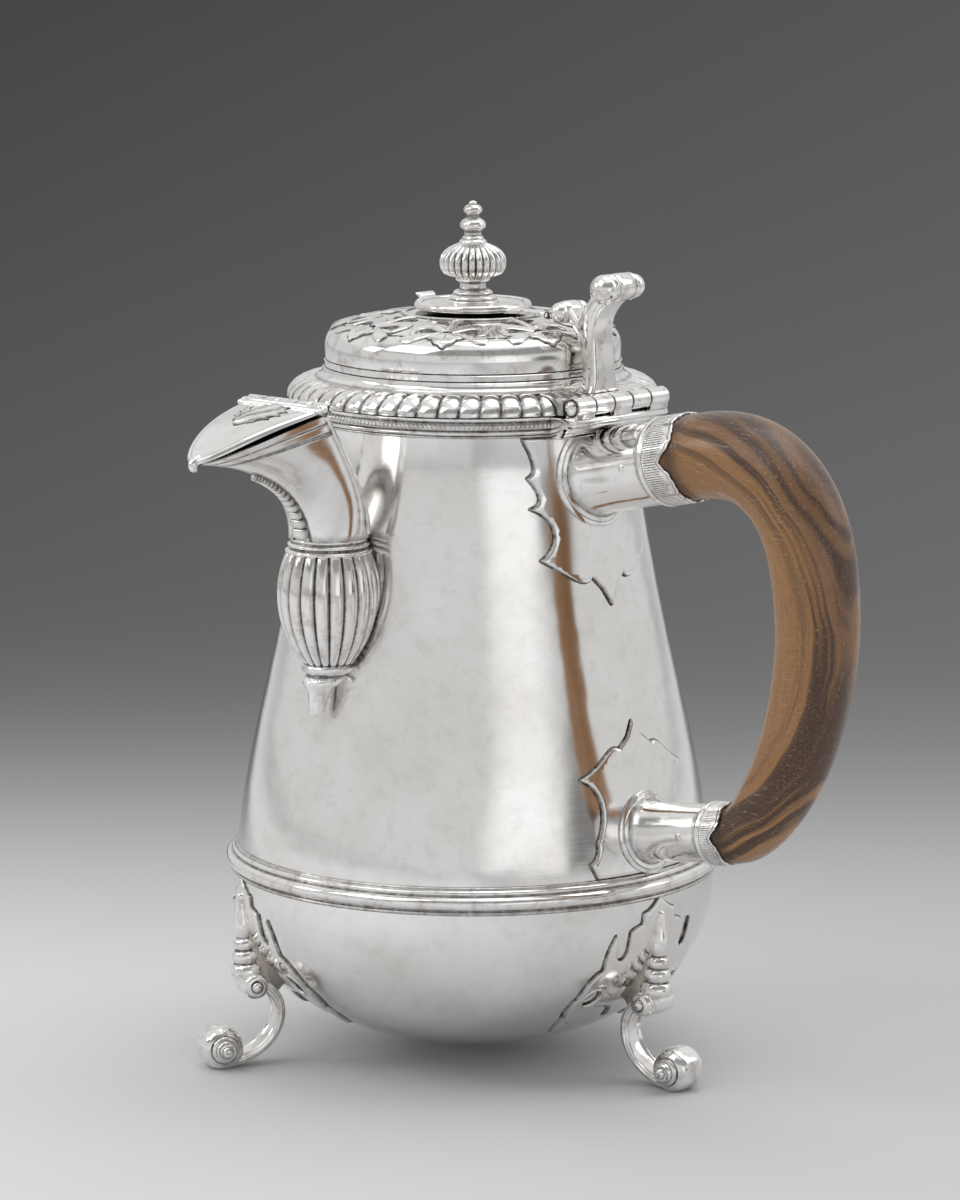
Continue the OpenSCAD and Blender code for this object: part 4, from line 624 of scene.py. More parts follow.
# Finial: cast and turned, with a moulded foot, a bulb of rounded flutes and two balls over it. Its peg passes
# through the plate and is held by a washer underneath.
finial_z, flutes = 226.73, 26
foot_line = eased([[0.1, 0.02], [7.6, 0.02], [7.75, 0.5], [7.55, 1.1], [7.0, 1.35], [7.05, 1.9], [6.5, 2.6],
                   [5.9, 2.9], [5.9, 3.5], [5.1, 4.1], [4.2, 4.35], [3.85, 5.1], [3.85, 6.3], [4.3, 6.6],
                   [4.9, 6.8], [5.2, 7.2], [5.1, 7.7], [4.6, 8.1], [0.1, 8.3]], 2)
cap_line = eased([[0.1, 17.6], [3.9, 17.9], [4.15, 18.4], [3.8, 18.9], [3.3, 19.3], [3.1, 19.8], [2.6, 20.3],
                  [2.5, 21], [2.55, 21.6], [3.7, 22.4], [3.95, 23.4], [3.4, 24.7], [2.1, 25.4], [1.75, 25.9],
                  [1.85, 26.4], [2.75, 27.2], [2.85, 28.2], [2.1, 29.2], [1.15, 29.5], [1.25, 29.9],
                  [0.95, 30.4], [0.1, 30.65]], 2)


def hollows(line, low=0.16, high=0.75):
    """How much dirt lies along a profile: most in inside corners, where it bends away from its surface."""
    d = np.gradient(np.asarray(line, float), axis=0)
    bend = np.gradient(np.unwrap(np.arctan2(d[:, 1], d[:, 0]))) / np.maximum(np.hypot(d[:, 0], d[:, 1]), 0.05)
    return np.clip((-bend - low) / 0.8, 0, 1)[:, None] * high


level, turn = np.linspace(0, 1, 30)[:, None], circle(flutes * 12)[None, :]
bulge = np.interp(level, [0, 0.04, 0.1, 0.2, 0.34, 0.5, 0.63, 0.76, 0.87, 0.95, 1],
                  [0.5, 0.74, 0.87, 0.955, 0.995, 1, 0.96, 0.86, 0.7, 0.52, 0.4])
wave = np.abs(np.sin(flutes / 2 * turn))
wide = (9.95 - 0.85 * (1 - wave) ** 1.3) * bulge
bulb = np.stack([wide * np.cos(turn), wide * np.sin(turn), finial_z + 7.9 + 10.3 * level + 0 * turn], -1)
turning = [cover(lathe(line, 96, (0, 0, finial_z)), hollows(line)) for line in (foot_line, cap_line)]
peg = cover(lathe([[1.98, -3.2], [1.98, 0.5]], 32, (0, 0, finial_z)))
make("finial_turning", [*turning, cover(bulb, np.clip((1 - wave) ** 2.6 * 1.1, 0, 1) + 0 * level), peg],
     bright_silver, "finial_cover", ["finial"], 60)
washer_line = eased([[peg_r, 224.03], [3.2, 224.03], [3.6, 224.4], [3.6, plate_z], [peg_r, plate_z]], 1)
make("peg_washer", [cover(lathe(washer_line, 48), loop=True)], sheet_silver, "finial_cover",
     ["finial_washer"])

# Thumbpiece: cast with a plain strap that stands on the hinge plate and curls over at its top, a second strap
# bent over the lid's shoulder to the small hinge, and a leaf between them. Balls finish both curls.


def strap(line, thick, wide, steps=60, lobe=4.0, dirt=0.0, dip=0.0):
    """A cast strap along a line of x and z points: its thickness and width at each, and a section like a
    rounded oblong, raised to a power that makes it square or round. A dip hollows its middle."""
    line = eased(np.column_stack([line, thick, wide]), 3)
    far = run(line[:, :2])
    x, z, t, w = (np.interp(np.linspace(0, far[-1], steps), far, line[:, n])[:, None] for n in range(4))
    dx, dz = np.gradient(x, axis=0), np.gradient(z, axis=0)
    size = np.hypot(dx, dz)
    c, s = np.cos(circle(36))[None, :], np.sin(circle(36))[None, :]
    out = np.sign(c) * np.abs(c) ** (2 / lobe) * t / 2 * (1 - dip * (1 - np.minimum(np.abs(s) * 1.6, 1) ** 2))
    side = np.sign(s) * np.abs(s) ** (2 / lobe) * w / 2
    return cover(np.stack([x + dz / size * out, side + 0 * x, z - dx / size * out], -1), dirt)


def ball(at, r, squash, axis=(0, 1, 0)):
    """A cast ball, flattened along its axis."""
    a = np.radians(np.linspace(-86, 86, 22))
    return cover(turned(np.stack([r * np.cos(a), r * squash * np.sin(a)], -1), at, axis, 32))


def wire(path, r, columns=10, dirt=0.0):
    """A round wire along a path of points, r thick at each: a circle carried square to the path."""
    path = np.asarray(path, float)
    way = np.gradient(path, axis=0)
    way /= np.linalg.norm(way, axis=1)[:, None]
    first = np.cross(way, [0.33, 0.21, 0.92])
    first /= np.linalg.norm(first, axis=1)[:, None]
    c, s = np.cos(circle(columns))[:, None], np.sin(circle(columns))[:, None]
    r = np.broadcast_to(r, len(path))[:, None, None]
    return cover(path[:, None] + r * (c * first[:, None] + s * np.cross(way, first)[:, None]), dirt)


high, low = np.array([57.8, 0, 235.9]), np.array([38.65, 0, 227.3])
high_half = np.array([[0.3, 5.1], [3.3, 5.1], [3.95, 4.7], [4.1, 4.1], [3.75, 3.4], [4.05, 2.6]])
high_drum = eased([*(high_half * [1, -1]), [4.1, 2.6], *high_half[-2::-1]], 1)
low_half = np.array([[0.3, 3.6], [2.6, 3.6], [3.3, 3.1]])
low_drum = eased([*(low_half * [1, -1]), *low_half[::-1]], 1)
straps = [strap([[51.6, 205], [51.6, 207.5], [51.1, 213], [50, 220], [49.6, 226], [52.2, 230.8],
                 [55.6, 233.6], [58, 234.6]],
                [3.6, 3.4, 3.8, 4.6, 5.6, 6, 5.6, 4.4], [12.6, 9.8, 9.4, 9.2, 9.6, 10, 10, 9.6], dip=0.1),
          strap([[48.9, 205.4], [48.7, 210], [48.3, 215], [46.9, 219.8], [44.6, 223.2], [42, 226.2],
                 [39.4, 228.8]],
                [3.4, 3, 3, 3.2, 3.4, 3.2, 3.4], [9.4, 8.4, 7.8, 7.6, 7.4, 7, 6.6], dip=0.12, dirt=0.12),
          strap([[49, 216], [48, 222], [46.4, 226.4], [44.4, 228.4]],
                [2, 6.4, 6.2, 1.2], [5.4, 6.6, 5.8, 2.4], lobe=2.2, dirt=0.3),
          strap([[44.6, 224.6], [47, 228], [50, 230.8], [52.4, 231.4]],
                [1.8, 3.2, 3.2, 1], [6.2, 7.4, 7.4, 3], lobe=2.2, dirt=0.2)]
curls = [cover(turned(high_drum, high, (0, 1, 0), 48), hollows(high_drum)),
         cover(turned(low_drum, low, (0, 1, 0), 40), hollows(low_drum))]
balls = [ball(at + move, r, squash) for at, move, r, squash in (
    (high, (-0.6, -5.6, -0.5), 4.5, 0.85), (high, (0.2, 6.0, -0.1), 3.6, 0.95),
    (low, (0, -4.3, 0), 2.95, 0.86), (low, (0.3, 4.3, 0.1), 2.95, 0.86))]
pieces = [*straps, *curls, *balls]
lug = [[33, 225.43], [37.4, 225.6], [37.4, 228.2], [33.4, 227.23]]
veins = ((0.0, (47.4, 219.6), (51.5, 230)), (0.5, (45.6, 222.4), (49, 229)), (0.2, (48.6, 214), (49.2, 224)))
for side in (-1, 1):
    turn = np.linspace(0, 2.2 * tau, 60)
    part = turn / turn[-1]
    c, s = np.cos(turn + 1.9)[:, None], np.sin(turn + 1.9)[:, None]
    in_tube, across = np.cos(circle(8)), np.sin(circle(8))
    out = (3.3 - 2.6 * part)[:, None] + 0.55 * in_tube
    tube = np.stack([high[0] + out * c, side * (5.0 + 1.9 * part)[:, None] + 0.55 * across,
                     high[2] + out * s], -1)
    pieces += [cover(tube, 0.15), barrel(side * 2.5 - 1.1, side * 2.5 + 1.1, plate_barrel_r, *plate_hinge),
               cover(bar(lug, side * 2.5 - 1.0, side * 2.5 + 1.0, 0.15))]
    vein = np.linspace(0, 1, 24)
    wide = (0.8 * np.sin(math.pi * vein) ** 0.6 + 0.08)[:, None]
    for lift, start, end in veins:
        line = bezier([start, (start[0] + 2.2, start[1] + 3), (end[0] - 2.6, end[1] - 3), end], vein)
        rib = [line[:, :1] + wide * in_tube, side * (3.6 + lift * 0.4) + wide * across * 0.7,
               line[:, 1:] + 0 * across]
        pieces.append(cover(np.stack(rib, -1), 0.25))
make("thumb_bracket", pieces, bright_silver, "lid", ["thumbpiece"], 60)

# Spout bulb, drop and collar: cast hollow and seated on the body over the small holes. The bulb has rounded
# flutes, the drop under it swings out to a soft point, and the collar of steps hides the joint with the neck.
bulb_r, bulb_ball, bulb_flutes = 15.3, 30, 20


def moved_out(grid, least):
    """Moves points that lie nearer to the pot's axis than a distance straight out to that distance."""
    away = np.hypot(grid[..., 0], grid[..., 1])
    return grid * np.stack([np.maximum(away, least) / away] * 2 + [1 + 0 * away], -1)


def seated(grid, sink=0.5):
    """Keeps a piece from going deeper into the body than a part of its wall."""
    return moved_out(grid, body_r(grid[..., 2]) - sink)


z, turn = np.linspace(126.3, 159.3, 56)[:, None], circle(bulb_flutes * 18)[None, :]
plain = bulb_r - bulb_ball + np.sqrt(bulb_ball ** 2 - (z - bulb_z) ** 2)
wave = np.abs(np.sin(bulb_flutes / 2 * turn + math.pi / 2))
wide = plain - np.minimum(1, plain / bulb_r + 0.1) * 1.15 * (1 - wave) ** 1.5
bulb = np.stack([wide * np.cos(turn), wide * np.sin(turn) + bulb_y, z + 0 * turn], -1)
soil = np.clip((1 - wave) ** 3.2 * 1.15, 0, 1) + 0 * z
make("fluted_bulb", [cover(seated(bulb), soil)], bright_silver, "pot", ["spout_bulb"], 70)

drop = eased([[0, 7.3, 0], [0.5, 8, 0], [1.2, 8.2, 0.1], [2.2, 7.7, 0.4], [2.9, 6.5, 0.9], [3.4, 5.7, 1.3],
              [3.9, 5.9, 1.9], [4.7, 6.2, 2.6], [5.5, 5.8, 3.2], [6.6, 4.7, 3.8], [7.8, 3.8, 4.2],
              [9.2, 3.1, 4.5], [12, 2.55, 5.0], [14, 2.35, 5.3], [15.1, 1.8, 5.4], [15.75, 0.6, 5.4]], 2)
turn = circle(56)[None, :]
down, wide, lean = (drop[:, n][:, None] for n in range(3))
wide = wide * (1 - 0.06 * (1 - np.abs(np.sin(3 * turn))) * ramp(down, 4, 2) * ramp(down, 13, -4))
grid = np.stack([wide * np.cos(turn), bulb_y - lean + wide * np.sin(turn), bulb_z - 20 - down + 0 * turn], -1)
soil = np.interp(down, [0, 0.5, 2.6, 3.4, 4, 15.7], [0.9, 0, 0.2, 0.9, 0, 0])
make("bulb_drop", [cover(seated(grid), soil)], bright_silver, "pot", ["spout_pendant"], 60)

collar_line = eased([[9.9, 0], [12.3, 0], [12.85, 0.35], [12.75, 0.95], [12.1, 1.3], [11.5, 1.45],
                     [11.45, 1.85], [12.0, 2.15], [12.1, 2.75], [11.6, 3.15], [11.2, 3.3], [11.15, 3.7],
                     [11.3, 4.1], [11.05, 4.6], [9.9, 4.6]], 2)
collar = cover(seated(lathe(collar_line, 128, (0, bulb_y, 159.1))), hollows(collar_line), loop=True)
make("collar", [collar], bright_silver, "pot", ["spout_collar"])

# Spout neck: a channel of sheet raised to a beak, round at the collar and keeled in front. Engraved lines
# follow its mouth, and twin wires are soldered down the corners of its flat back.
back_edge = [(50.5, 163.5), (55.5, 176.5), (63.0, 186.1), (77.0, 202.2)]
front_edge = [(72.5, 163.5), (73.5, 178.0), (87.6, 186.9), (115.2, 190.2)]
mouth_len = math.hypot(38.2, 12)
mouth_dir = np.array([38.2, -12.0]) / mouth_len
mouth_up = np.array([-mouth_dir[1], mouth_dir[0]])
tiles_end, tile_low, tile_less = 0.66, 6, 4.2


def mouth_place(out, up):
    """A point of outs and heights, so far along the mouth's line from the hinge and so far above the line."""
    out, up = np.asarray(out)[..., None], np.asarray(up)[..., None]
    return np.array([77.0, 202.2]) + mouth_dir * out + mouth_up * up


def swell(u):
    """How much the mouth's edge bows up along its length, as a share."""
    return np.sin(math.pi * np.clip(u, 0, 1) ** 0.9)


def beak(s, a, inset):
    """The spout's surface: s runs from collar to mouth, a is the angle round its section, and inset is the
    depth under its face. The section's flat back draws in and its front sharpens to a keel as s grows."""
    s, a = np.broadcast_arrays(s, a)
    b, f = bezier(back_edge, s), bezier(front_edge, s)
    span = np.linalg.norm(f - b, axis=-1)
    length = span - inset * (2 + 0.8 * s)
    half = 11 + 4.2 * s ** 0.9 - inset
    soft = 0.8 + 0.2 * np.minimum(1, s * 1.5)
    lift, side = (np.sign(q) * np.abs(q) ** soft for q in (np.sin(a), np.cos(a)))
    wide, keel = length * (0.5 - 0.46 * s ** 0.6), np.abs(lift) ** (1 + 0.45 * s)
    y = np.where(lift > 0, wide + (length - wide) * keel, wide * (1 - keel))
    bow = 0.9 * s ** 5 * swell(y / length)
    flat = b + (f - b) / span[..., None] * (y + inset)[..., None] + mouth_up * bow[..., None]
    return np.stack([half * side, -flat[..., 0], flat[..., 1]], -1)


s = np.concatenate([np.linspace(0, 0.86, 60), np.linspace(0.87, 1, 40)])[:, None]
a = (circle(192) + 0.01)[None, :]
lines = sum(bell(s, at, 0.006) for at in (0.955, 0.9, 0.885)) * np.clip((np.sin(a) + 0.3) * 4, 0, 1)
front = beak(s, a, 0.14 * lines)
tile_wide = tile_low - tile_less * s / tiles_end
by_tiles = bell(np.abs(front[..., 0]), tile_wide / 2 + 0.35, 0.45) * (np.sin(a) > 0) * (s < 0.7)
soil = np.clip(lines * 0.9 + by_tiles * 0.85 + np.clip(0.05 - s, 0, 1) * 12, 0, 1)
walls = np.concatenate([seated(front), seated(beak(s, a, 1.1))[::-1]])
channel = cover(walls, np.concatenate([soil, 0.25 + 0 * soil]), loop=True)
make("beak_channel", [channel], sheet_silver, "pot", ["spout_neck"], 60)

wires = []
for spot in (0.0, -0.34, math.pi, math.pi + 0.34):
    path = seated(beak(np.linspace(0.04, 0.985, 60), spot, -0.55), -0.3)
    wires += [wire(path, 0.68 + 0.04 * np.sin(np.arange(60) * 0.9), dirt=0.12),
              ball(path[-1] + [0, 0, 0.1], 1.0, 0.9)]
make("corner_wires", wires, bright_silver, "pot", ["spout_edge_wires"], 70)

# Tiles: small cast cushions soldered one over another up the keel, each smaller than the one below.


def cushion(at, wide, tall, out, half):
    """A soft block with rounded corners: half sizes along three ways, drawn square by powers under one."""
    def bend(x, power):
        """A value raised to a power with its sign kept."""
        return np.sign(x) * np.abs(x) ** power
    phi, turn = np.radians(np.linspace(-88, 88, 12))[:, None], circle(28)[None, :]
    x = half[0] * bend(np.cos(phi), 0.5) * bend(np.cos(turn), 0.5)
    y = half[1] * bend(np.cos(phi), 0.5) * bend(np.sin(turn), 0.5)
    z = half[2] * bend(np.sin(phi), 0.8) + 0 * turn
    return np.asarray(at) + sum(q[..., None] * np.array(way) for q, way in ((x, wide), (y, tall), (z, out)))


tiles, t, half_tall = [], 0.02, 0.29
while t < tiles_end:
    near = bezier(front_edge, np.array([t - 0.005, t + 0.005]))
    speed = np.linalg.norm(near[1] - near[0]) * 100
    size = tile_low - tile_less * t / tiles_end
    middle = t + size * half_tall / speed
    here, ahead = bezier(front_edge, np.array([middle, middle + 0.01]))
    y, z = (ahead - here) / np.linalg.norm(ahead - here)
    block = cushion((0, -here[0] - 0.15 * z, here[1] - 0.15 * y), (1, 0, 0), (0, -y, z), (0, -z, -y),
                    (size / 2 + 0.15, size * half_tall - 0.04, 1.55))
    tiles.append(cover(block, np.linspace(1, 0, 12)[:, None] ** 0.7 * 0.9))
    t += 2 * size * half_tall / speed
make("keel_tiles", tiles, bright_silver, "pot", ["spout_tile_strip"], 70)

# Flap and its hinge: a cover of sheet, raised to a shallow dome and curled to a lip at the tip. It turns on a
# wire through five small knuckles, three of them on the neck. A leaf is soldered to it beside the hinge.
flap_y, flap_z, flap_half_w, flap_r, flap_lap = -77.0, 204.1, 16.3, 1.4, 0.12


def flap_knuckle(k, y0, y1, z0):
    """A small knuckle with the web that joins it to the neck or to the flap."""
    step = 2 * flap_half_w / 5
    x0 = k * step - flap_half_w + (flap_lap if k else 0)
    x1 = (k + 1) * step - flap_half_w - (flap_lap if k < 4 else 0)
    line = knuckle_line(flap_r, x1 - x0, flap_r - 0.7, 0.18, 0.15)
    web = [[x0 + 0.1, z0], [x1 - 0.1, z0], [x1 - 0.1, flap_z], [x0 + 0.1, flap_z]]
    round_bar = turned(line, (x0, flap_y, flap_z), (1, 0, 0), 36)
    return [cover(round_bar, np.array([1, 0.6, 0, 0, 0.6, 1])[:, None]), cover(bar(web, y0, y1, 0.1), 0.3)]


def headed_rod(ends, y, z, columns, dirt=0.0):
    """A rod across the flap with a small bead near each end, from half its profile."""
    line = [[r, -x] for r, x in ends] + [[r, x] for r, x in ends[::-1]]
    return cover(turned(eased(line, 1), (0, y, z), (1, 0, 0), columns), dirt)


neck_knuckles = [part for k in (0, 2, 4) for part in flap_knuckle(k, -77.8, -76.2, 202.0)]
make("flap_knuckles", neck_knuckles, bright_silver, "pot", ["spout_hinge_knuckles"])
pin = headed_rod([[0.1, 17.1], [0.7, 17.0], [0.95, 16.6], [0.6, 16.35]], flap_y, flap_z, 24)
make("flap_pin", [pin], bright_silver, "pot", ["flap_hinge_pin"])


def flap_half(u):
    """Half the flap's width at a share of its length: a blunt end at the hinge, drawn in to the tip."""
    return 15.4 * np.sqrt(np.maximum(0.0001, 1 - np.maximum(0, (u - 0.04) / 0.975) ** (2 / 1.45)))


def flap_place(u, v, lift):
    """A place on the flap: u runs from hinge to tip, v from side to side, and lift is over its underside."""
    u, v, lift = np.broadcast_arrays(u, v, lift)
    along, inside = np.clip(u, 0, 1), np.maximum(1 - v * v, 0)
    gape = (0.75 + 0.7 * inside ** 0.6) * np.sin(math.pi * along ** 1.3)
    dome = 0.45 * inside * swell(u) + 0.3 * (1 - np.abs(v)) ** 3 * np.sin(math.pi * along)
    flat = mouth_place(mouth_len * u, 1 - 0.6 * u + 0.9 * swell(u) + gape + dome + lift)
    return np.stack([v * flap_half(u), -flat[..., 0], flat[..., 1]], -1)


def slab(face, under, dirt, dirt_under):
    """A closed skin from the grids of its face and of its underside."""
    return cover(np.concatenate([face, under], 1), np.concatenate([dirt, dirt_under + 0 * dirt], 1))


u = np.concatenate([np.linspace(0.046, 0.9, 70), np.linspace(0.91, 1.012, 16)])[:, None]
v = np.linspace(-1, 1, 81)[None, :]
inward = (1 - np.abs(v)) * flap_half(u)
scroll_at = 2.5 + 9.5 * ramp(u, 0.42, -0.36) ** 0.7
scroll = bell(np.abs(v) * flap_half(u), scroll_at, 0.22) * (u < 0.42) * (u > 0.08)
cove = bell(u, 0.085, 0.016)
edge = bell(inward, 0, 0.35)
face = flap_place(u, v, 1.15 - 0.5 * edge + 0.22 * bell(inward, 1.1, 0.6) - 0.1 * scroll - 0.3 * cove)
soil = 0.8 * scroll + 0.7 * cove * (0.4 + np.abs(np.sin(v * 60))) + 0.4 * bell(inward, 1.9, 0.25) * (u > 0.15)
flap = [slab(face, flap_place(u, -v, 0.25 * edge), np.clip(soil, 0, 1), 0.2)]
curl = [[0, 1.6, 0.7], [0, -0.2, 0.2], [0, -0.75, -1.2], [0, -0.1, -2.0], [0, 0.7, -2.3]]
curl = eased(flap_place(1.0, 0.0, 0.4) + curl, 2)
flap.append(wire(curl, np.interp(np.linspace(0, 1, len(curl)), [0, 0.4, 0.75, 1], [1.5, 1.4, 1.1, 0.5]), 24))
for at, r in ((0.045, 0.85), (0.09, 0.72)):
    rod = flap_place(at, np.linspace(-1.06, 1.06, 40), 1.25)
    flap += [wire(rod, r, 14)] + [ball(rod[end], r * 1.15, 1, (1, 0, 0)) for end in (0, -1)]
flap += flap_knuckle(1, -79.8, -77.0, 203.6) + flap_knuckle(3, -79.8, -77.0, 203.6)
flap.append(headed_rod([[0.1, 15.7], [0.75, 15.6], [0.95, 15], [0.8, 14.4]], -79.95, 204.35, 20, 0.1))
make("flap_sheet", flap, sheet_silver, "spout_cover", ["spout_flap"], 60)

leaf_from, leaf_long, lobes_long = 0.11, 0.45, 5
u, v = np.linspace(leaf_from, leaf_from + leaf_long, 60)[:, None], np.linspace(-1, 1, 25)[None, :]
notch = 1 - 0.24 * np.abs(np.sin(lobes_long * math.pi * (u - leaf_from) / leaf_long)) ** 0.7
half = 0.62 * np.sin(math.pi * np.clip((u - 0.02) / 0.545, 0.001, 0.999)) ** 0.9 * notch
ridge = np.abs(np.sin(v * 4.5 + (u - 0.1) * 9))
ribs = 0.16 * (1 - ridge) * (np.abs(v) > 0.12) - 0.15 * (1 - np.abs(v)) ** 4
face = flap_place(u, v * half, 1.35 + 0.5 * (1 - v * v) - ribs)
soil = np.clip((1 - ridge) ** 1.3 * 0.9 + v ** 8 * 0.8, 0, 1)
leaf = slab(face, flap_place(u, -v * half, 1.1), soil, 1)
make("flap_leaf_cast", [leaf], bright_silver, "spout_cover", ["flap_leaf"], 60)

# Plates under the sockets: sawn from thin sheet to the outline of a leaf
# and soldered to the body. Two thin steps of a disc lie on each.
plate_thick = 0.92


def on_body(y, z, h):
    """A place on the body's handle side, at a distance sideways and a height, and h out from its surface."""
    return np.stack([np.sqrt(np.maximum((body_r(z) + h) ** 2 - y * y, 1)), y, z], -1)


def sawn(*parts):
    """Half an outline: single corners, and curves given by where they start, how many points they have and
    their three further control points. Each curve sets off from the last point."""
    line = []
    for part in parts:
        if len(part) == 2:
            line.append(part)
        else:
            start, n, *controls = part
            line += list(bezier([line[-1], *controls], np.linspace(start, 1, n)))
    return np.array(line)


upper_leaf = sawn((0, -1), (0.073, -0.881), (0.153, -0.801),
                  (0.1, 8, (0.217, -0.892), (0.343, -0.767), (0.517, -0.664)),
                  (0.1, 9, (0.355, -0.572), (0.355, -0.4), (0.549, -0.32)),
                  (0.1, 7, (0.46, -0.3), (0.45, -0.24), (0.549, -0.114)),
                  (0.1, 6, (0.49, -0.09), (0.48, -0.04), (0.572, 0.149)), (0, 0.149))
lower_leaf = sawn((0, 1), (0.102, 0.847), (0.237, 0.746),
                  (0.1, 8, (0.339, 0.831), (0.441, 0.61), (0.746, 0.492)),
                  (0.1, 9, (0.475, 0.373), (0.525, 0.068), (0.644, -0.139)),
                  (0.2, 5, (0.64, -0.25), (0.67, -0.3), (0.746, -0.336)), (0.678, -0.488), (0, -0.488))
upper_leaf, lower_leaf = upper_leaf * 43.7 + [0, 185.99], lower_leaf * 29.5 + [0, 79.5]
upper_leaf[:, 1] = np.minimum(upper_leaf[:, 1], neck_z - 0.2)
lower_leaf[:, 1] = np.maximum(lower_leaf[:, 1], 65.1)
for which, half in (("upper", upper_leaf), ("lower", lower_leaf)):
    plate = leaf_plate(mirrored(half), on_body, plate_thick)
    make(which + "_leaf_plate", [plate], sheet_silver, "pot", [which + "_cut_card"], 50)


class Joint:
    """The end of a socket: its name, the middle of its ring, its way out along the wood, and its radius."""

    def __init__(self, name, x, z, tilt, r):
        c, s = math.cos(math.radians(tilt)), math.sin(math.radians(tilt))
        self.name, self.r, self.at = name, r, np.array([x, 0.0, z])
        self.way, self.up = np.array([c, 0.0, s]), np.array([-s, 0.0, c])

    def ring(self, q, turn, s):
        """A place q out from the axis, at an angle from the top, s along the axis from the ring."""
        q, turn, s = (p[..., None] for p in np.broadcast_arrays(q, turn, s))
        up, across = q * np.cos(turn) * self.up, q * np.sin(turn) * np.array([0.0, 1.0, 0.0])
        return self.at + up - across + s * self.way

    def wall(self, q, turn, h):
        """How far back along the axis the line through that place meets the body, h out from its surface. The
        place is found by halving."""
        q, turn, h = np.broadcast_arrays(q, turn, h)
        low, high = np.full(q.shape, -60.0), np.zeros(q.shape)
        for _ in range(26):
            mid = (low + high) / 2
            x, y, z = np.moveaxis(self.ring(q, turn, mid), -1, 0)
            inside = np.hypot(x, y) < body_r(z) + h
            low, high = np.where(inside, mid, low), np.where(inside, high, mid)
        return (low + high) / 2


upper, lower = Joint("upper", 77.8, 187.0, 12, 12.4), Joint("lower", 97.2, 79.9, 7, 8.65)
turn = circle(128)[None, :]
steps = np.array([[3.6, 0.2], [3.6, 1.35], [3.4, 1.55], [2.5, 1.62], [2.3, 1.7], [2.3, 1.9], [2.15, 2.1],
                  [-1.5, 2.12], [-1.5, 0.2]])
soil = np.array([1, 0.4, 0, 0.1, 0.8, 0.4, 0, 0.5, 1])[:, None]
for end in (upper, lower):
    q = end.r + steps[:, :1]
    disc = cover(end.ring(q, turn, end.wall(q, turn, steps[:, 1:])), soil, loop=True)
    make(end.name + "_disc", [disc], bright_silver, "pot", [end.name + "_socket_disc"])

# Sockets: tubes raised from sheet, soldered to the discs with a small
# fillet and finished by a ring. A pin through each holds the wood.
tube_thick, pin_back = 1.4, 8.06
fillet = np.array([[1.1, 0], [0.45, 0.03], [0.15, 0.08], [0.04, 0.16], [0, 0.3], [0, 0.5], [0, 0.75], [0, 1]])
bead = np.array([[0, -3.0], [0.05, -2.6], [0.05, -1.75], [0.5, -1.5], [0.8, -1.05], [0.85, -0.5], [0.6, -0.1],
                 [0.3, 0.0], [-tube_thick, 0.0], [-tube_thick, -13]])
soil = np.array([0.8, 0.4, 0.1, 0, 0, 0, 0, 0, 0, 0.1, 0.9, 0.1, 0, 0, 0, 0.5, 1, 1, 1])[:, None]
for end in (upper, lower):
    root = end.wall(end.r + 1.1, turn, 2.05)
    part = fillet[:, 1:]
    tube = np.concatenate([end.ring(end.r + fillet[:, :1], turn, root * (1 - part) - 3.2 * part),
                           end.ring(end.r + bead[:, :1], turn, bead[:, 1:]),
                           end.ring(end.r - tube_thick, turn, root * 0.9 - 1)])
    make(end.name + "_tube", [cover(tube, soil, loop=True)], sheet_silver, "pot", [end.name + "_socket"])
for end in (upper, lower):
    half = [[0.1, end.r + 0.4], [0.8, end.r + 0.35]]
    line = eased([[r, -s] for r, s in half] + [[1.2, -end.r], [1.2, end.r]] + half[::-1], 1)
    pin = cover(turned(line, end.at - pin_back * end.way, (0, 1, 0), 28))
    make(end.name + "_pin", [pin], bright_silver, "pot", [end.name + "_handle_pin"])

# Ferrules: thin bands over the ends of the wood, sawn to lobes
# round their edge and engraved with short strokes.
strokes = 112
turn = circle(1008)[None, :]
from_top = np.degrees(np.minimum(turn, tau - turn))
edge_line = np.interp(from_top, [0, 14, 30, 48, 62, 74, 84, 90, 96, 106, 122, 140, 158, 170, 180],
                      [8.6, 9.6, 9.2, 10.9, 11.3, 10.0, 7.6, 7.0, 7.7, 9.6, 10.2, 9.3, 9.6, 8.4, 7.6])
part = np.concatenate([[0, 0.0], np.linspace(0.03, 0.86, 26), np.linspace(0.885, 0.99, 6),
                       [1.0, 1.0]])[:, None]
across, stroke = np.modf(turn * strokes / tau)
uneven = np.modf(np.abs(np.sin(stroke * 12.9898) * 43758.5453))[0]
cut = np.clip(1.6 - np.abs(across - 0.5) * 6.4, 0, 1)
for end, reach in ((upper, 1.0), (lower, 0.64)):
    edge = reach * (edge_line + 0.22 * np.abs(np.sin(turn * 16)))
    s = 0.05 + (edge - 0.05) * part
    long = np.clip((s - 0.9) / 0.25, 0, 1) * np.clip((edge * (0.62 + 0.22 * uneven) - s) / 0.3, 0, 1)
    hatch = np.clip(cut * long + bell(edge - s, 0.95, 0.16) + bell(s, 0.6, 0.14), 0, 1)
    out = np.where(part > 0.997, 0.62, 0.75) - 0.13 * hatch
    soil = hatch * 0.92
    out[[0, -1]], soil[[0, -1]] = 0.05, 1
    band = cover(end.ring(end.r + out, turn, s), soil, loop=True)
    make(end.name + "_band", [band], bright_silver, "pot", [end.name + "_ferrule"], 60)

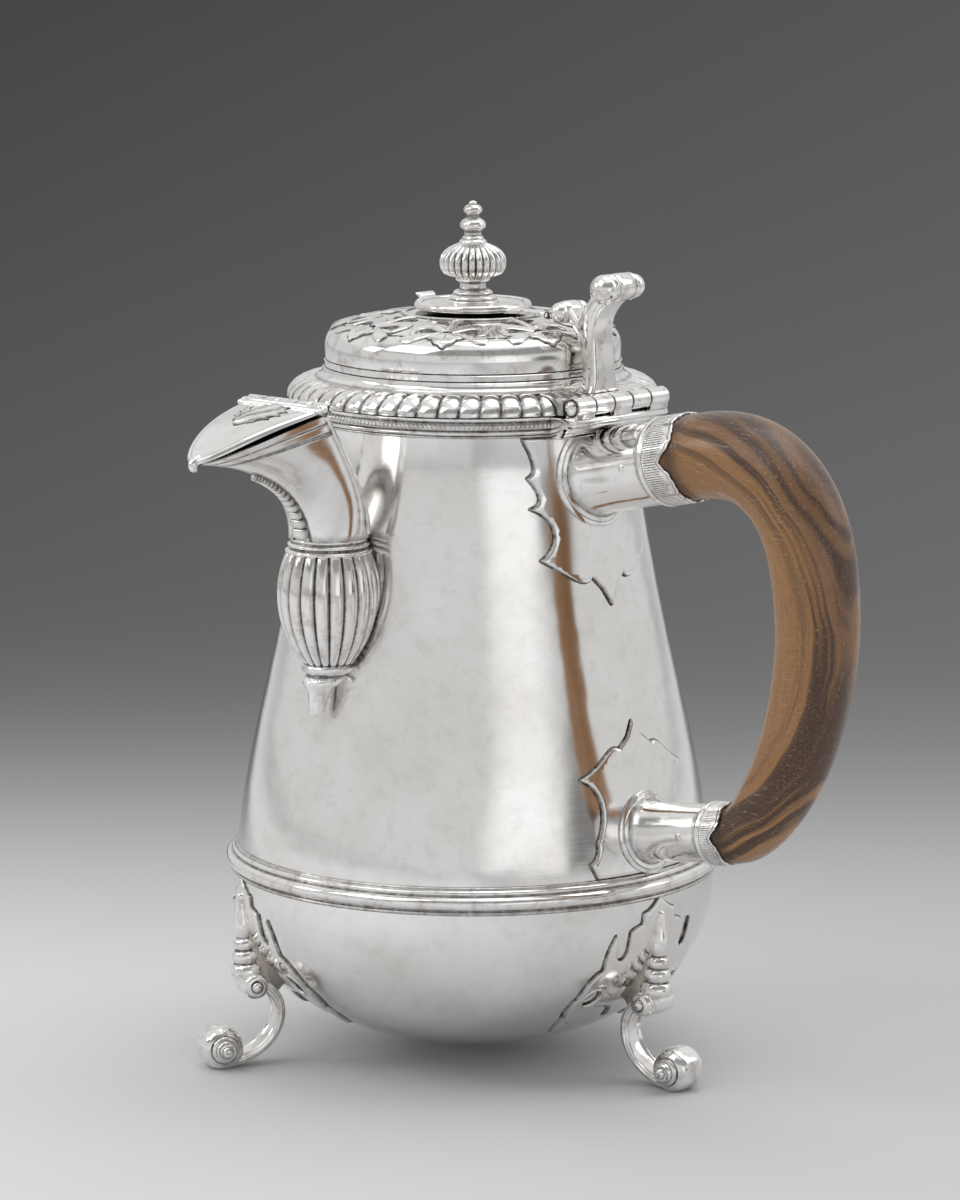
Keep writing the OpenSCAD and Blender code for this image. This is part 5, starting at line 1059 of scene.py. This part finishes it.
# Grip: sawn and rasped from one piece of a dark-streaked brown hardwood, then waxed. Its layers run with the
# outer side of the bend, so the streaks leave the outer edge and sweep down across it.
grip_x, flat = 133.5, [0, 2]
mid_z = lower.at[2] + 0.6 * (upper.at[2] - lower.at[2])
leave, arrive = (upper.at + 12.4 * upper.way)[flat], (lower.at + 7.8 * lower.way)[flat]
t, bent = np.linspace(0, 1, 70), np.array([math.cos(math.radians(14)), math.sin(math.radians(14))])
over = bezier([leave, leave + 27 * upper.way[flat], (grip_x, mid_z + 36), (grip_x, mid_z)], t)
down = bezier([(grip_x, mid_z), (grip_x, mid_z - 30), arrive + 12 * bent, arrive], t[1:])
in_upper = upper.at[flat] + np.linspace(0.06, 12.2, 24)[:, None] * upper.way[flat]
in_lower = lower.at[flat] + np.linspace(7.6, 0.06, 16)[:, None] * lower.way[flat]
line = np.vstack([in_upper, over, down, in_lower])
narrowing = bezier([(12.1,), (11.9,), (9.86,), (8.55,)], t[1:])[:, 0]
full = 12.3 - 0.2 * t + 0.8 * np.sin(math.pi * t ** 0.8)
thick = np.concatenate([np.full(24, 12.38), full, narrowing, np.full(16, 8.62)])
way = np.gradient(line, axis=0)
way /= np.linalg.norm(way, axis=1)[:, None]
turn, far = circle(112)[None, :], run(line)[:, None]
left = far[-1] - far
rasp = 0.006 * np.sin(far / 9 + 2 * turn) + 0.005 * np.sin(far / 5.3 - 3 * turn + 1)
r = thick[:, None] * (1 + rasp * ramp(far, 14, 8) * ramp(left, 12, 8))
rise = r * np.cos(turn)
grip = np.stack([line[:, :1] - way[:, 1:] * rise, -r * np.sin(turn), line[:, 1:] + way[:, :1] * rise], -1)
# Painted shadow: the wood darkens in a band just beyond the edge of each ferrule.
painted_shadow_by_ferrules = 0.8 * (bell(far, 9.8, 3.4) + bell(left, 6.6, 2.4)) + 0 * turn


def waxed_wood(name, finish):
    """Brown hardwood: layers read from the grain attribute, in millimetres across, along and through the
    plank. Their tone drifts, dark streaks gather in the outer layers, short pores and pale scratches lie over
    them, and wax gives a soft shine that is duller in the pores."""
    browns = (0.285, 0.138, 0.053), (0.335, 0.167, 0.063), (0.385, 0.198, 0.08)
    streak_dark, outer_dark = (0.06, 0.031, 0.02, 1), (0.085, 0.052, 0.04, 1)
    pore_dark, pale, black = (0.07, 0.032, 0.014, 1), (0.5, 0.36, 0.24, 1), (0.04, 0.022, 0.014, 1)
    coat, tree, shader, place = blank(name, finish)
    drift = noise(tree, place, 30, 2)
    sideways = wired(tree, "CombineXYZ", {"X": sums(tree, "MULTIPLY", drift, 7.0)}).outputs[0]
    grain = wired(tree, "Attribute", attribute_name="grain").outputs["Vector"]
    layer = wired(tree, "VectorMath", {0: grain, 1: sideways}, operation="ADD").outputs[0]
    streak = noise(tree, drawn(tree, layer, (0.34, 0.008, 0.03)), 1, 3)
    fibre = noise(tree, drawn(tree, layer, (1.7, 0.05, 0.25)), 1, 5, 0.7)
    pores = noise(tree, drawn(tree, layer, (4.5, 0.3, 4.5)), 1, 2)
    out, along, _ = wired(tree, "SeparateXYZ", {"Vector": layer}).outputs
    dark = sums(tree, "MULTIPLY", spread(tree, streak, 0.45, 0.56), spread(tree, out, 51.5, 59.0, 0.0, 0.92))
    base = wired(tree, "ValToRGB", {"Fac": fibre})
    base.color_ramp.elements.new(0.5)
    for spot, at, brown in zip(base.color_ramp.elements, (0.28, 0.5, 0.72), browns):
        spot.position, spot.color = at, (*brown, 1)
    colour = blend(tree, dark, base.outputs[0], streak_dark)
    edge = sums(tree, "MULTIPLY", spread(tree, out, 58.0, 66.0, 0.0, 0.55), spread(tree, along, -48.0, -8.0))
    pore = spread(tree, pores, 0.58, 0.7, 0.0, 0.5)
    colour = blend(tree, pore, blend(tree, edge, colour, outer_dark), pore_dark)
    for turned_by, seed in ((0.5, 3.0), (-0.8, 11.0), (1.4, 7.0)):
        scale, turns = (60, 2400, 2400), (turned_by, turned_by, seed)
        lay = wired(tree, "Mapping", {"Vector": place, "Rotation": turns, "Scale": scale}).outputs[0]
        colour = blend(tree, spread(tree, noise(tree, lay, 1, 0, 0.4), 0.74, 0.8, 0.0, 0.4), colour, pale)
    # The stored value darkens the wood towards black; on the grip it is the painted shadow beside the
    # ferrules.
    tree.links.new(blend(tree, stored(tree, "dirt"), colour, black), shader.inputs["Base Color"])
    sheen = spread(tree, fibre, 0.3, 0.7, 0.36, 0.22)
    tree.links.new(sums(tree, "MULTIPLY_ADD", pore, 0.3, sheen), shader.inputs["Roughness"])
    rasped = wired(tree, "Bump", {"Height": drift, "Distance": 0.5 * mm})
    fine = wired(tree, "Bump", {"Height": pores, "Distance": 0.035 * mm, "Normal": rasped.outputs[0]},
                 invert=True)
    tree.links.new(fine.outputs[0], shader.inputs["Normal"])
    for plug, value in (("Specular IOR Level", 0.35), ("Coat Weight", 0.22), ("Coat Roughness", 0.13)):
        shader.inputs[plug].default_value = value
    return coat


tenons = [cover(end.ring(end.r - 1.5, turn, np.array([[-12.9], [0.1]]))) for end in (upper, lower)]
handle = make("grip", [cover(grip, painted_shadow_by_ferrules), *tenons], waxed_wood("waxed_wood", "handle_wood"), "pot",
              ["handle_grip"])
x, y, z = np.array([vertex.co for vertex in handle.data.vertices]).T / mm
layers_x, layers_z, layers_r = 85.0, 140.0, 65
reach, angle = np.hypot(x - layers_x, z - layers_z), np.arctan2(z - layers_z, x - layers_x)
grain = np.stack([reach + 0.12 * y, angle * layers_r, y], -1).astype(np.float32)
handle.data.attributes.new("grain", "FLOAT_VECTOR", "POINT").data.foreach_set("vector", grain.ravel())

# Feet: three cast scrolls, each with a rolled toe, a strap that bends back under the
# bowl, a roll at the knee and a ringed spire. A jagged leaf of sheet lies between
# each foot and the bowl, with a loop and a tail on both sides.
toe_x, toe_z, knee_x, knee_z, feet_at = 80.0, 6.3, 70.2, 24.9, (2.0, 122.0, 242.0)
bowl_in, bowl_out = bowl_line(0.0), bowl_line(1.0)


def bowl_at(z, h):
    """Radius of the bowl's outside at a height, h out from its surface."""
    inner, outer = (np.interp(z, line[:, 1], line[:, 0]) for line in (bowl_in, bowl_out))
    return inner + h * (outer - inner)


def on_bowl(y, z, h):
    """A place on the bowl beside the x axis, at a distance sideways and a height, h out from its surface."""
    return np.stack([np.sqrt(np.maximum(bowl_at(z, h) ** 2 - y * y, 1)), y, z], -1)


def outside_bowl(grid):
    """Moves points that would come through the bowl's wall out to a part of its thickness."""
    z = grid[..., 2]
    return moved_out(grid, bowl_at(z, -0.5) * (z < seam_z) * (z > bowl_z - bowl_deep + 1))


def swung(part, degrees):
    """A covered grid turned round the pot's axis."""
    c, s = math.cos(math.radians(degrees)), math.sin(math.radians(degrees))
    return (part[0] @ np.array([[c, s, 0], [-s, c, 0], [0, 0, 1]]), *part[1:])


def coil(line, at, start):
    """A turned roll lying sideways, with a spiral line cut round each end and darkened."""
    r, s = line[:, :1], line[:, 1:]
    dr, ds = np.gradient(r, axis=0), np.gradient(s, axis=0)
    end = (np.abs(ds) < 1.1 * np.abs(dr) + 0.02) * (r < 4.6)
    spiral = np.modf(1 + circle(64) / tau * np.sign(s) + r / 1.9 + start)[0] % 1
    cut = np.clip(1 - np.abs(spiral - 0.5) * 5, 0, 1) * end * 0.8
    return cover(turned(line, at, (0, 1, 0), 64), np.clip(cut + hollows(line, 0.2, 0.9), 0, 1))


leaf_scale, leaf_z = 45.2, 57.6
leaf_half = sawn((0, 0), (0.055, -0.055), (0.115, -0.09), (0.155, -0.1),
                 (0.2, 5, (0.155, -0.14), (0.16, -0.18), (0.175, -0.175)),
                 (0.2, 4, (0.22, -0.18), (0.25, -0.2), (0.26, -0.21)),
                 (0.2, 5, (0.265, -0.27), (0.262, -0.3), (0.262, -0.34)),
                 (0.1, 10, (0.265, -0.42), (0.345, -0.42), (0.352, -0.33)),
                 (0.2, 5, (0.355, -0.28), (0.36, -0.25), (0.372, -0.215)),
                 (0.1, 9, (0.42, -0.29), (0.43, -0.36), (0.415, -0.46)),
                 (0.1, 9, (0.46, -0.47), (0.5, -0.55), (0.49, -0.66)),
                 (0.1, 8, (0.52, -0.7), (0.5, -0.78), (0.44, -0.83)),
                 (0.2, 5, (0.4, -0.86), (0.36, -0.875), (0.33, -0.87)), (0.3, -0.74),
                 (1 / 9, 9, (0.22, -0.76), (0.14, -0.72), (0.07, -0.86)), (0, -0.86))
loop_y, loop_z = 0.39 * leaf_scale, leaf_z - 0.66 * leaf_scale
eye = arc(loop_y, loop_z, 2.55, 0, 345, 24)
leaf = [leaf_plate(mirrored(leaf_half * leaf_scale + [0, leaf_z]), on_bowl, plate_thick,
                   holes=[eye, eye * [-1, 1]])]
tail = np.array([[19.6, 21.6], [18.8, 18.6], [17.4, 16.2], [15.4, 14.4]])
for side in (-1, 1):
    ring = arc(side * loop_y, loop_z, 2.9, 0, 360, 33)
    leaf += [wire(on_bowl(*ring.T, 0.75), 0.42, 8, 0.1),
             petal(on_bowl, tail * [side, 1], [1.5, 1.2, 0.8, 0.2], 0.8)]


def roll_line(half):
    """The eased profile of a roll with two alike ends, from half of it."""
    return eased(np.vstack([half * np.array([1, -1]), half[::-1]]), 2)


toe_line = roll_line([[0.1, 9.7], [0.9, 9.6], [1.5, 9.2], [1.7, 8.7], [1.5, 8.4], [2.4, 8.2], [3.0, 7.7],
                      [3.2, 7.1], [2.9, 6.8], [3.8, 6.5], [4.2, 6.1], [4.1, 5.7], [5.0, 5.3], [6.0, 4.4],
                      [6.5, 3.2], [6.64, 1.6]])
knee_line = roll_line([[0.1, 7.5], [0.9, 7.4], [1.5, 7.0], [1.6, 6.5], [2.6, 6.4], [3.3, 6.1], [3.85, 5.3],
                       [3.9, 4.2]])
spire_line = eased([[0.1, 0], [4.2, 0.2], [4.9, 1.2], [4.8, 2.6], [4.2, 3.7], [3.5, 4.2], [3.6, 4.7],
                    [4.0, 5.4], [4.1, 6.4], [3.6, 7.5], [2.95, 7.9], [3.0, 8.4], [3.45, 9.0], [3.45, 10],
                    [2.9, 11], [2.2, 11.4], [2.2, 11.9], [2.6, 13], [2.75, 14.4], [2.5, 16.2], [1.9, 18.6],
                    [1.45, 21], [1.25, 22.6], [1.05, 23.6], [0.5, 24.15], [0.1, 24.2]], 2) * [1, 26 / 24.2]
lean, spire_top = math.radians(4.6), knee_z + 26
spire = turned(spire_line, (knee_x + 1.2, 0, knee_z + 2), (math.sin(lean), 0, math.cos(lean)), 56)
strap_curve = [(79, 1.9), (62, 2.2), (55.5, 20.6), (69, 25.6)]
leg = strap(bezier(strap_curve, np.linspace(0, 1, 12)),
            [3.6, 3.4, 3.2, 3.1, 3.1, 3.1, 3.1, 3.1, 3.2, 3.3, 3.5, 3.8],
            [8.6, 8.2, 7.8, 7.5, 7.3, 7.2, 7.1, 7, 6.9, 6.8, 6.8, 6.6], 70, 5.0, 0.08, dip=0.55)
toe = coil(toe_line, (toe_x, 0, toe_z), 0.2)
casting = [toe, coil(knee_line, (knee_x, 0, knee_z), 0.6), leg, cover(spire, hollows(spire_line, 0.2, 0.85))]
for side in (-1, 1):
    t = np.linspace(0.02, 0.96, 50)
    x, z = bezier(strap_curve, t).T
    casting.append(wire(np.stack([x, side * np.interp(t, [0, 0.3, 1], [3.9, 3.4, 3.1]), z], -1),
                        0.62, 8, 0.12))
for n, (points, *rest) in enumerate(casting):
    points = outside_bowl(points)
    points[:, 2] = np.maximum(points[:, 2], 0.0)
    casting[n] = (points, *rest)

web_line = [[knee_x + 1, knee_z], [knee_x + 2.2, spire_top - 6], [bowl_r - 6, spire_top - 4], [58, 27],
            [knee_x - 7, knee_z - 4.6], [knee_x - 3, knee_z - 2.4], [knee_x + 1, knee_z]]
web = bar(eased(web_line, 2)[:-1], -2.6, 2.6, 1.9, 8)
x, y, z = np.moveaxis(web, -1, 0)
lumps = 0.55 * np.sin(x * 0.9) * np.sin(z * 0.8 + 1) + 0.3 * np.sin(x * 1.9 + z * 1.6)
web[..., 1] = y + np.sign(y) * lumps
web = cover(outside_bowl(web), 0.35)
solder = silver("soldered_silver", (0.74, 0.68, 0.62), 0.16, 1.2, "silver_cast", 0.8, (300, 300, 300))
for k, degrees in enumerate(feet_at, 1):
    make("scroll_foot_%d" % k, [swung(part, degrees) for part in casting], bright_silver, "pot",
         ["foot_%d" % k], 60)
    make("foot_solder_%d" % k, [swung(web, degrees)], solder, "pot", [], 60)
    make("foot_leaf_%d" % k, [swung(part, degrees) for part in leaf], sheet_silver, "pot",
         ["foot_card_%d" % k], 50)

# The studio: a paper floor whose tone paints a pool of light under the pot and shade behind it, large soft
# lamps and a pale surround.
# The camera stands between spout and handle.
eye_turn, eye_tip, eye_far, eye_z, eye_beside = math.radians(43), math.radians(9.6), 1.620, 0.13727, 0.0021


def way_to(turn, tip):
    """The direction at an angle round from the camera and an angle up, in degrees."""
    turn, tip = eye_turn + math.radians(turn), math.radians(tip)
    return Vector((math.sin(turn) * math.cos(tip), -math.cos(turn) * math.cos(tip), math.sin(tip)))


# The paper's tone is painted light: it falls from near to far as the lamps' light would and shifts from side
# to side. Past both sides of the view it turns pale, standing in for the bright panels that the pot mirrors.
behind = np.concatenate([np.linspace(-7, -0.6, 9), np.linspace(-0.55, 1.3, 75), np.linspace(1.5, 17, 24)])
across = np.concatenate([np.linspace(-8, -1.3, 8), np.linspace(-1.2, 1.2, 41), np.linspace(1.3, 8, 8)])
far, wide = np.meshgrid(behind, across, indexing="ij")
c, s = math.cos(eye_turn), math.sin(eye_turn)
spots = np.stack([wide * c - far * s, wide * s + far * c, 0 * far], -1)
index = np.arange(far.size).reshape(far.shape)
quads = np.stack([index[:-1, :-1], index[:-1, 1:], index[1:, 1:], index[1:, :-1]], -1).reshape(-1, 4)
paper_mesh = bpy.data.meshes.new("paper_floor")
paper_mesh.from_pydata(spots.reshape(-1, 3).tolist(), [], quads.tolist())
paper_mesh.polygons.foreach_set("use_smooth", np.ones(len(paper_mesh.polygons), bool))
near = 1 / (1 + np.exp((far - 0.3) / 0.115))
to_side = np.clip(wide * 4 / np.maximum(far + 3, 1), -0.45, 0.45)
painted_light_tone = 0.138 + 0.565 * near - 0.05 * ramp(far, 1, 10) + 0.085 * (1 - 4.2 * near) * to_side
beside = ramp(np.abs(wide), 0.2 + 0.098 * np.maximum(far, 0), 0.3)
painted_light_tone = painted_light_tone + (0.75 - painted_light_tone) * beside * beside * (3 - 2 * beside)
painted_light_tone = painted_light_tone.ravel().astype(np.float32)
paper_mesh.attributes.new("tone", "FLOAT", "POINT").data.foreach_set("value", painted_light_tone)
paper_floor = bpy.data.objects.new("paper_floor", paper_mesh)
bpy.context.scene.collection.objects.link(paper_floor)
paper = bpy.data.materials.new("paper")
paper.use_nodes = True
tree = paper.node_tree
tree.nodes.clear()
# The stored tone carries the painted pool of light, its falloff and the pale side panels.
tone = stored(tree, "tone")
bluer = sums(tree, "MULTIPLY", tone, 1.012)
colour = wired(tree, "CombineXYZ", {"X": tone, "Y": tone, "Z": bluer}).outputs[0]
shader = wired(tree, "BsdfDiffuse", {"Color": colour})
wired(tree, "OutputMaterial", {"Surface": shader.outputs[0]})
paper_mesh.materials.append(paper)


def lamp(name, turn, tip, far, size, strength):
    """A soft lamp at an angle round from the camera and an angle up, aimed at the middle of the pot. Its
    strength is its face's brightness, where a white floor under it alone would be as bright as its share of
    the sky."""
    light = bpy.data.lights.new(name, "AREA")
    light.shape, light.size, light.size_y = "RECTANGLE", size[0], size[1]
    light.energy = strength * math.pi * size[0] * size[1]
    holder = bpy.data.objects.new(name, light)
    bpy.context.scene.collection.objects.link(holder)
    way = way_to(turn, tip)
    holder.location = Vector((0, 0, 0.13)) + way * far
    holder.rotation_euler = way.to_track_quat("Z", "Y").to_euler()
    holder.visible_camera = False


lamp("left", -58, 46, 2.1, (1.3, 1.3), 1.3)
lamp("right", 96, 34, 2.0, (0.9, 1.1), 0.9)
lamp("spark", -88, 27, 1.8, (0.35, 0.45), 4.5)
lamp("above", 120, 74, 1.9, (1.4, 1.4), 1.35)

world = bpy.data.worlds.new("surround")
bpy.context.scene.world = world
world.use_nodes = True
tree = world.node_tree
tree.nodes.clear()
way = wired(tree, "SeparateXYZ", {"Vector": wired(tree, "TexCoord").outputs["Generated"]}).outputs


def step(value, low, high, start=0.0, end=1.0):
    """A smooth change from one value to another between two limits."""
    return spread(tree, value, low, high, start, end, "SMOOTHSTEP")


def facing(degrees):
    """How far a direction points towards an angle round from the camera."""
    x, y, _ = way_to(degrees, 0)
    return sums(tree, "MULTIPLY_ADD", way[1], y, sums(tree, "MULTIPLY", way[0], x))


# Before the pot a band over the horizon is dark and the ceiling
# bright. A window and a dark corner stand to its side.
before = step(facing(0), -0.3, 0.2)
over = sums(tree, "MULTIPLY", step(way[2], 0.3, 0.46), sums(tree, "MULTIPLY_ADD", before, -0.48, 0.14))
ceiling = sums(tree, "MULTIPLY", step(way[2], 0.76, 0.88, 0.0, 0.54), before)
window = step(facing(27), 0.9, 0.985, 0.0, 0.36)
corner = step(facing(57), 0.965, 0.992, 0.0, -0.45)
light = sums(tree, "ADD", ceiling, 0.66)
for more in (over, window, corner):
    light = sums(tree, "ADD", light, more)
sky = wired(tree, "Background", {"Color": (1.0, 1.0, 1.0, 1), "Strength": sums(tree, "MAXIMUM", light, 0.12)})
wired(tree, "OutputWorld", {"Surface": sky.outputs[0]})
bpy.context.scene.view_settings.view_transform = "Standard"

camera_data = bpy.data.cameras.new("camera")
camera_data.lens, camera_data.sensor_width = 162.0, 36.0
camera = bpy.data.objects.new("camera", camera_data)
bpy.context.scene.collection.objects.link(camera)
foot = Vector((c, s, 0)) * eye_beside + Vector((0, 0, eye_z))
camera.location = foot + way_to(0, math.degrees(eye_tip)) * eye_far
camera.rotation_euler = (math.radians(90) - eye_tip, 0.0, eye_turn)
bpy.context.scene.camera = camera
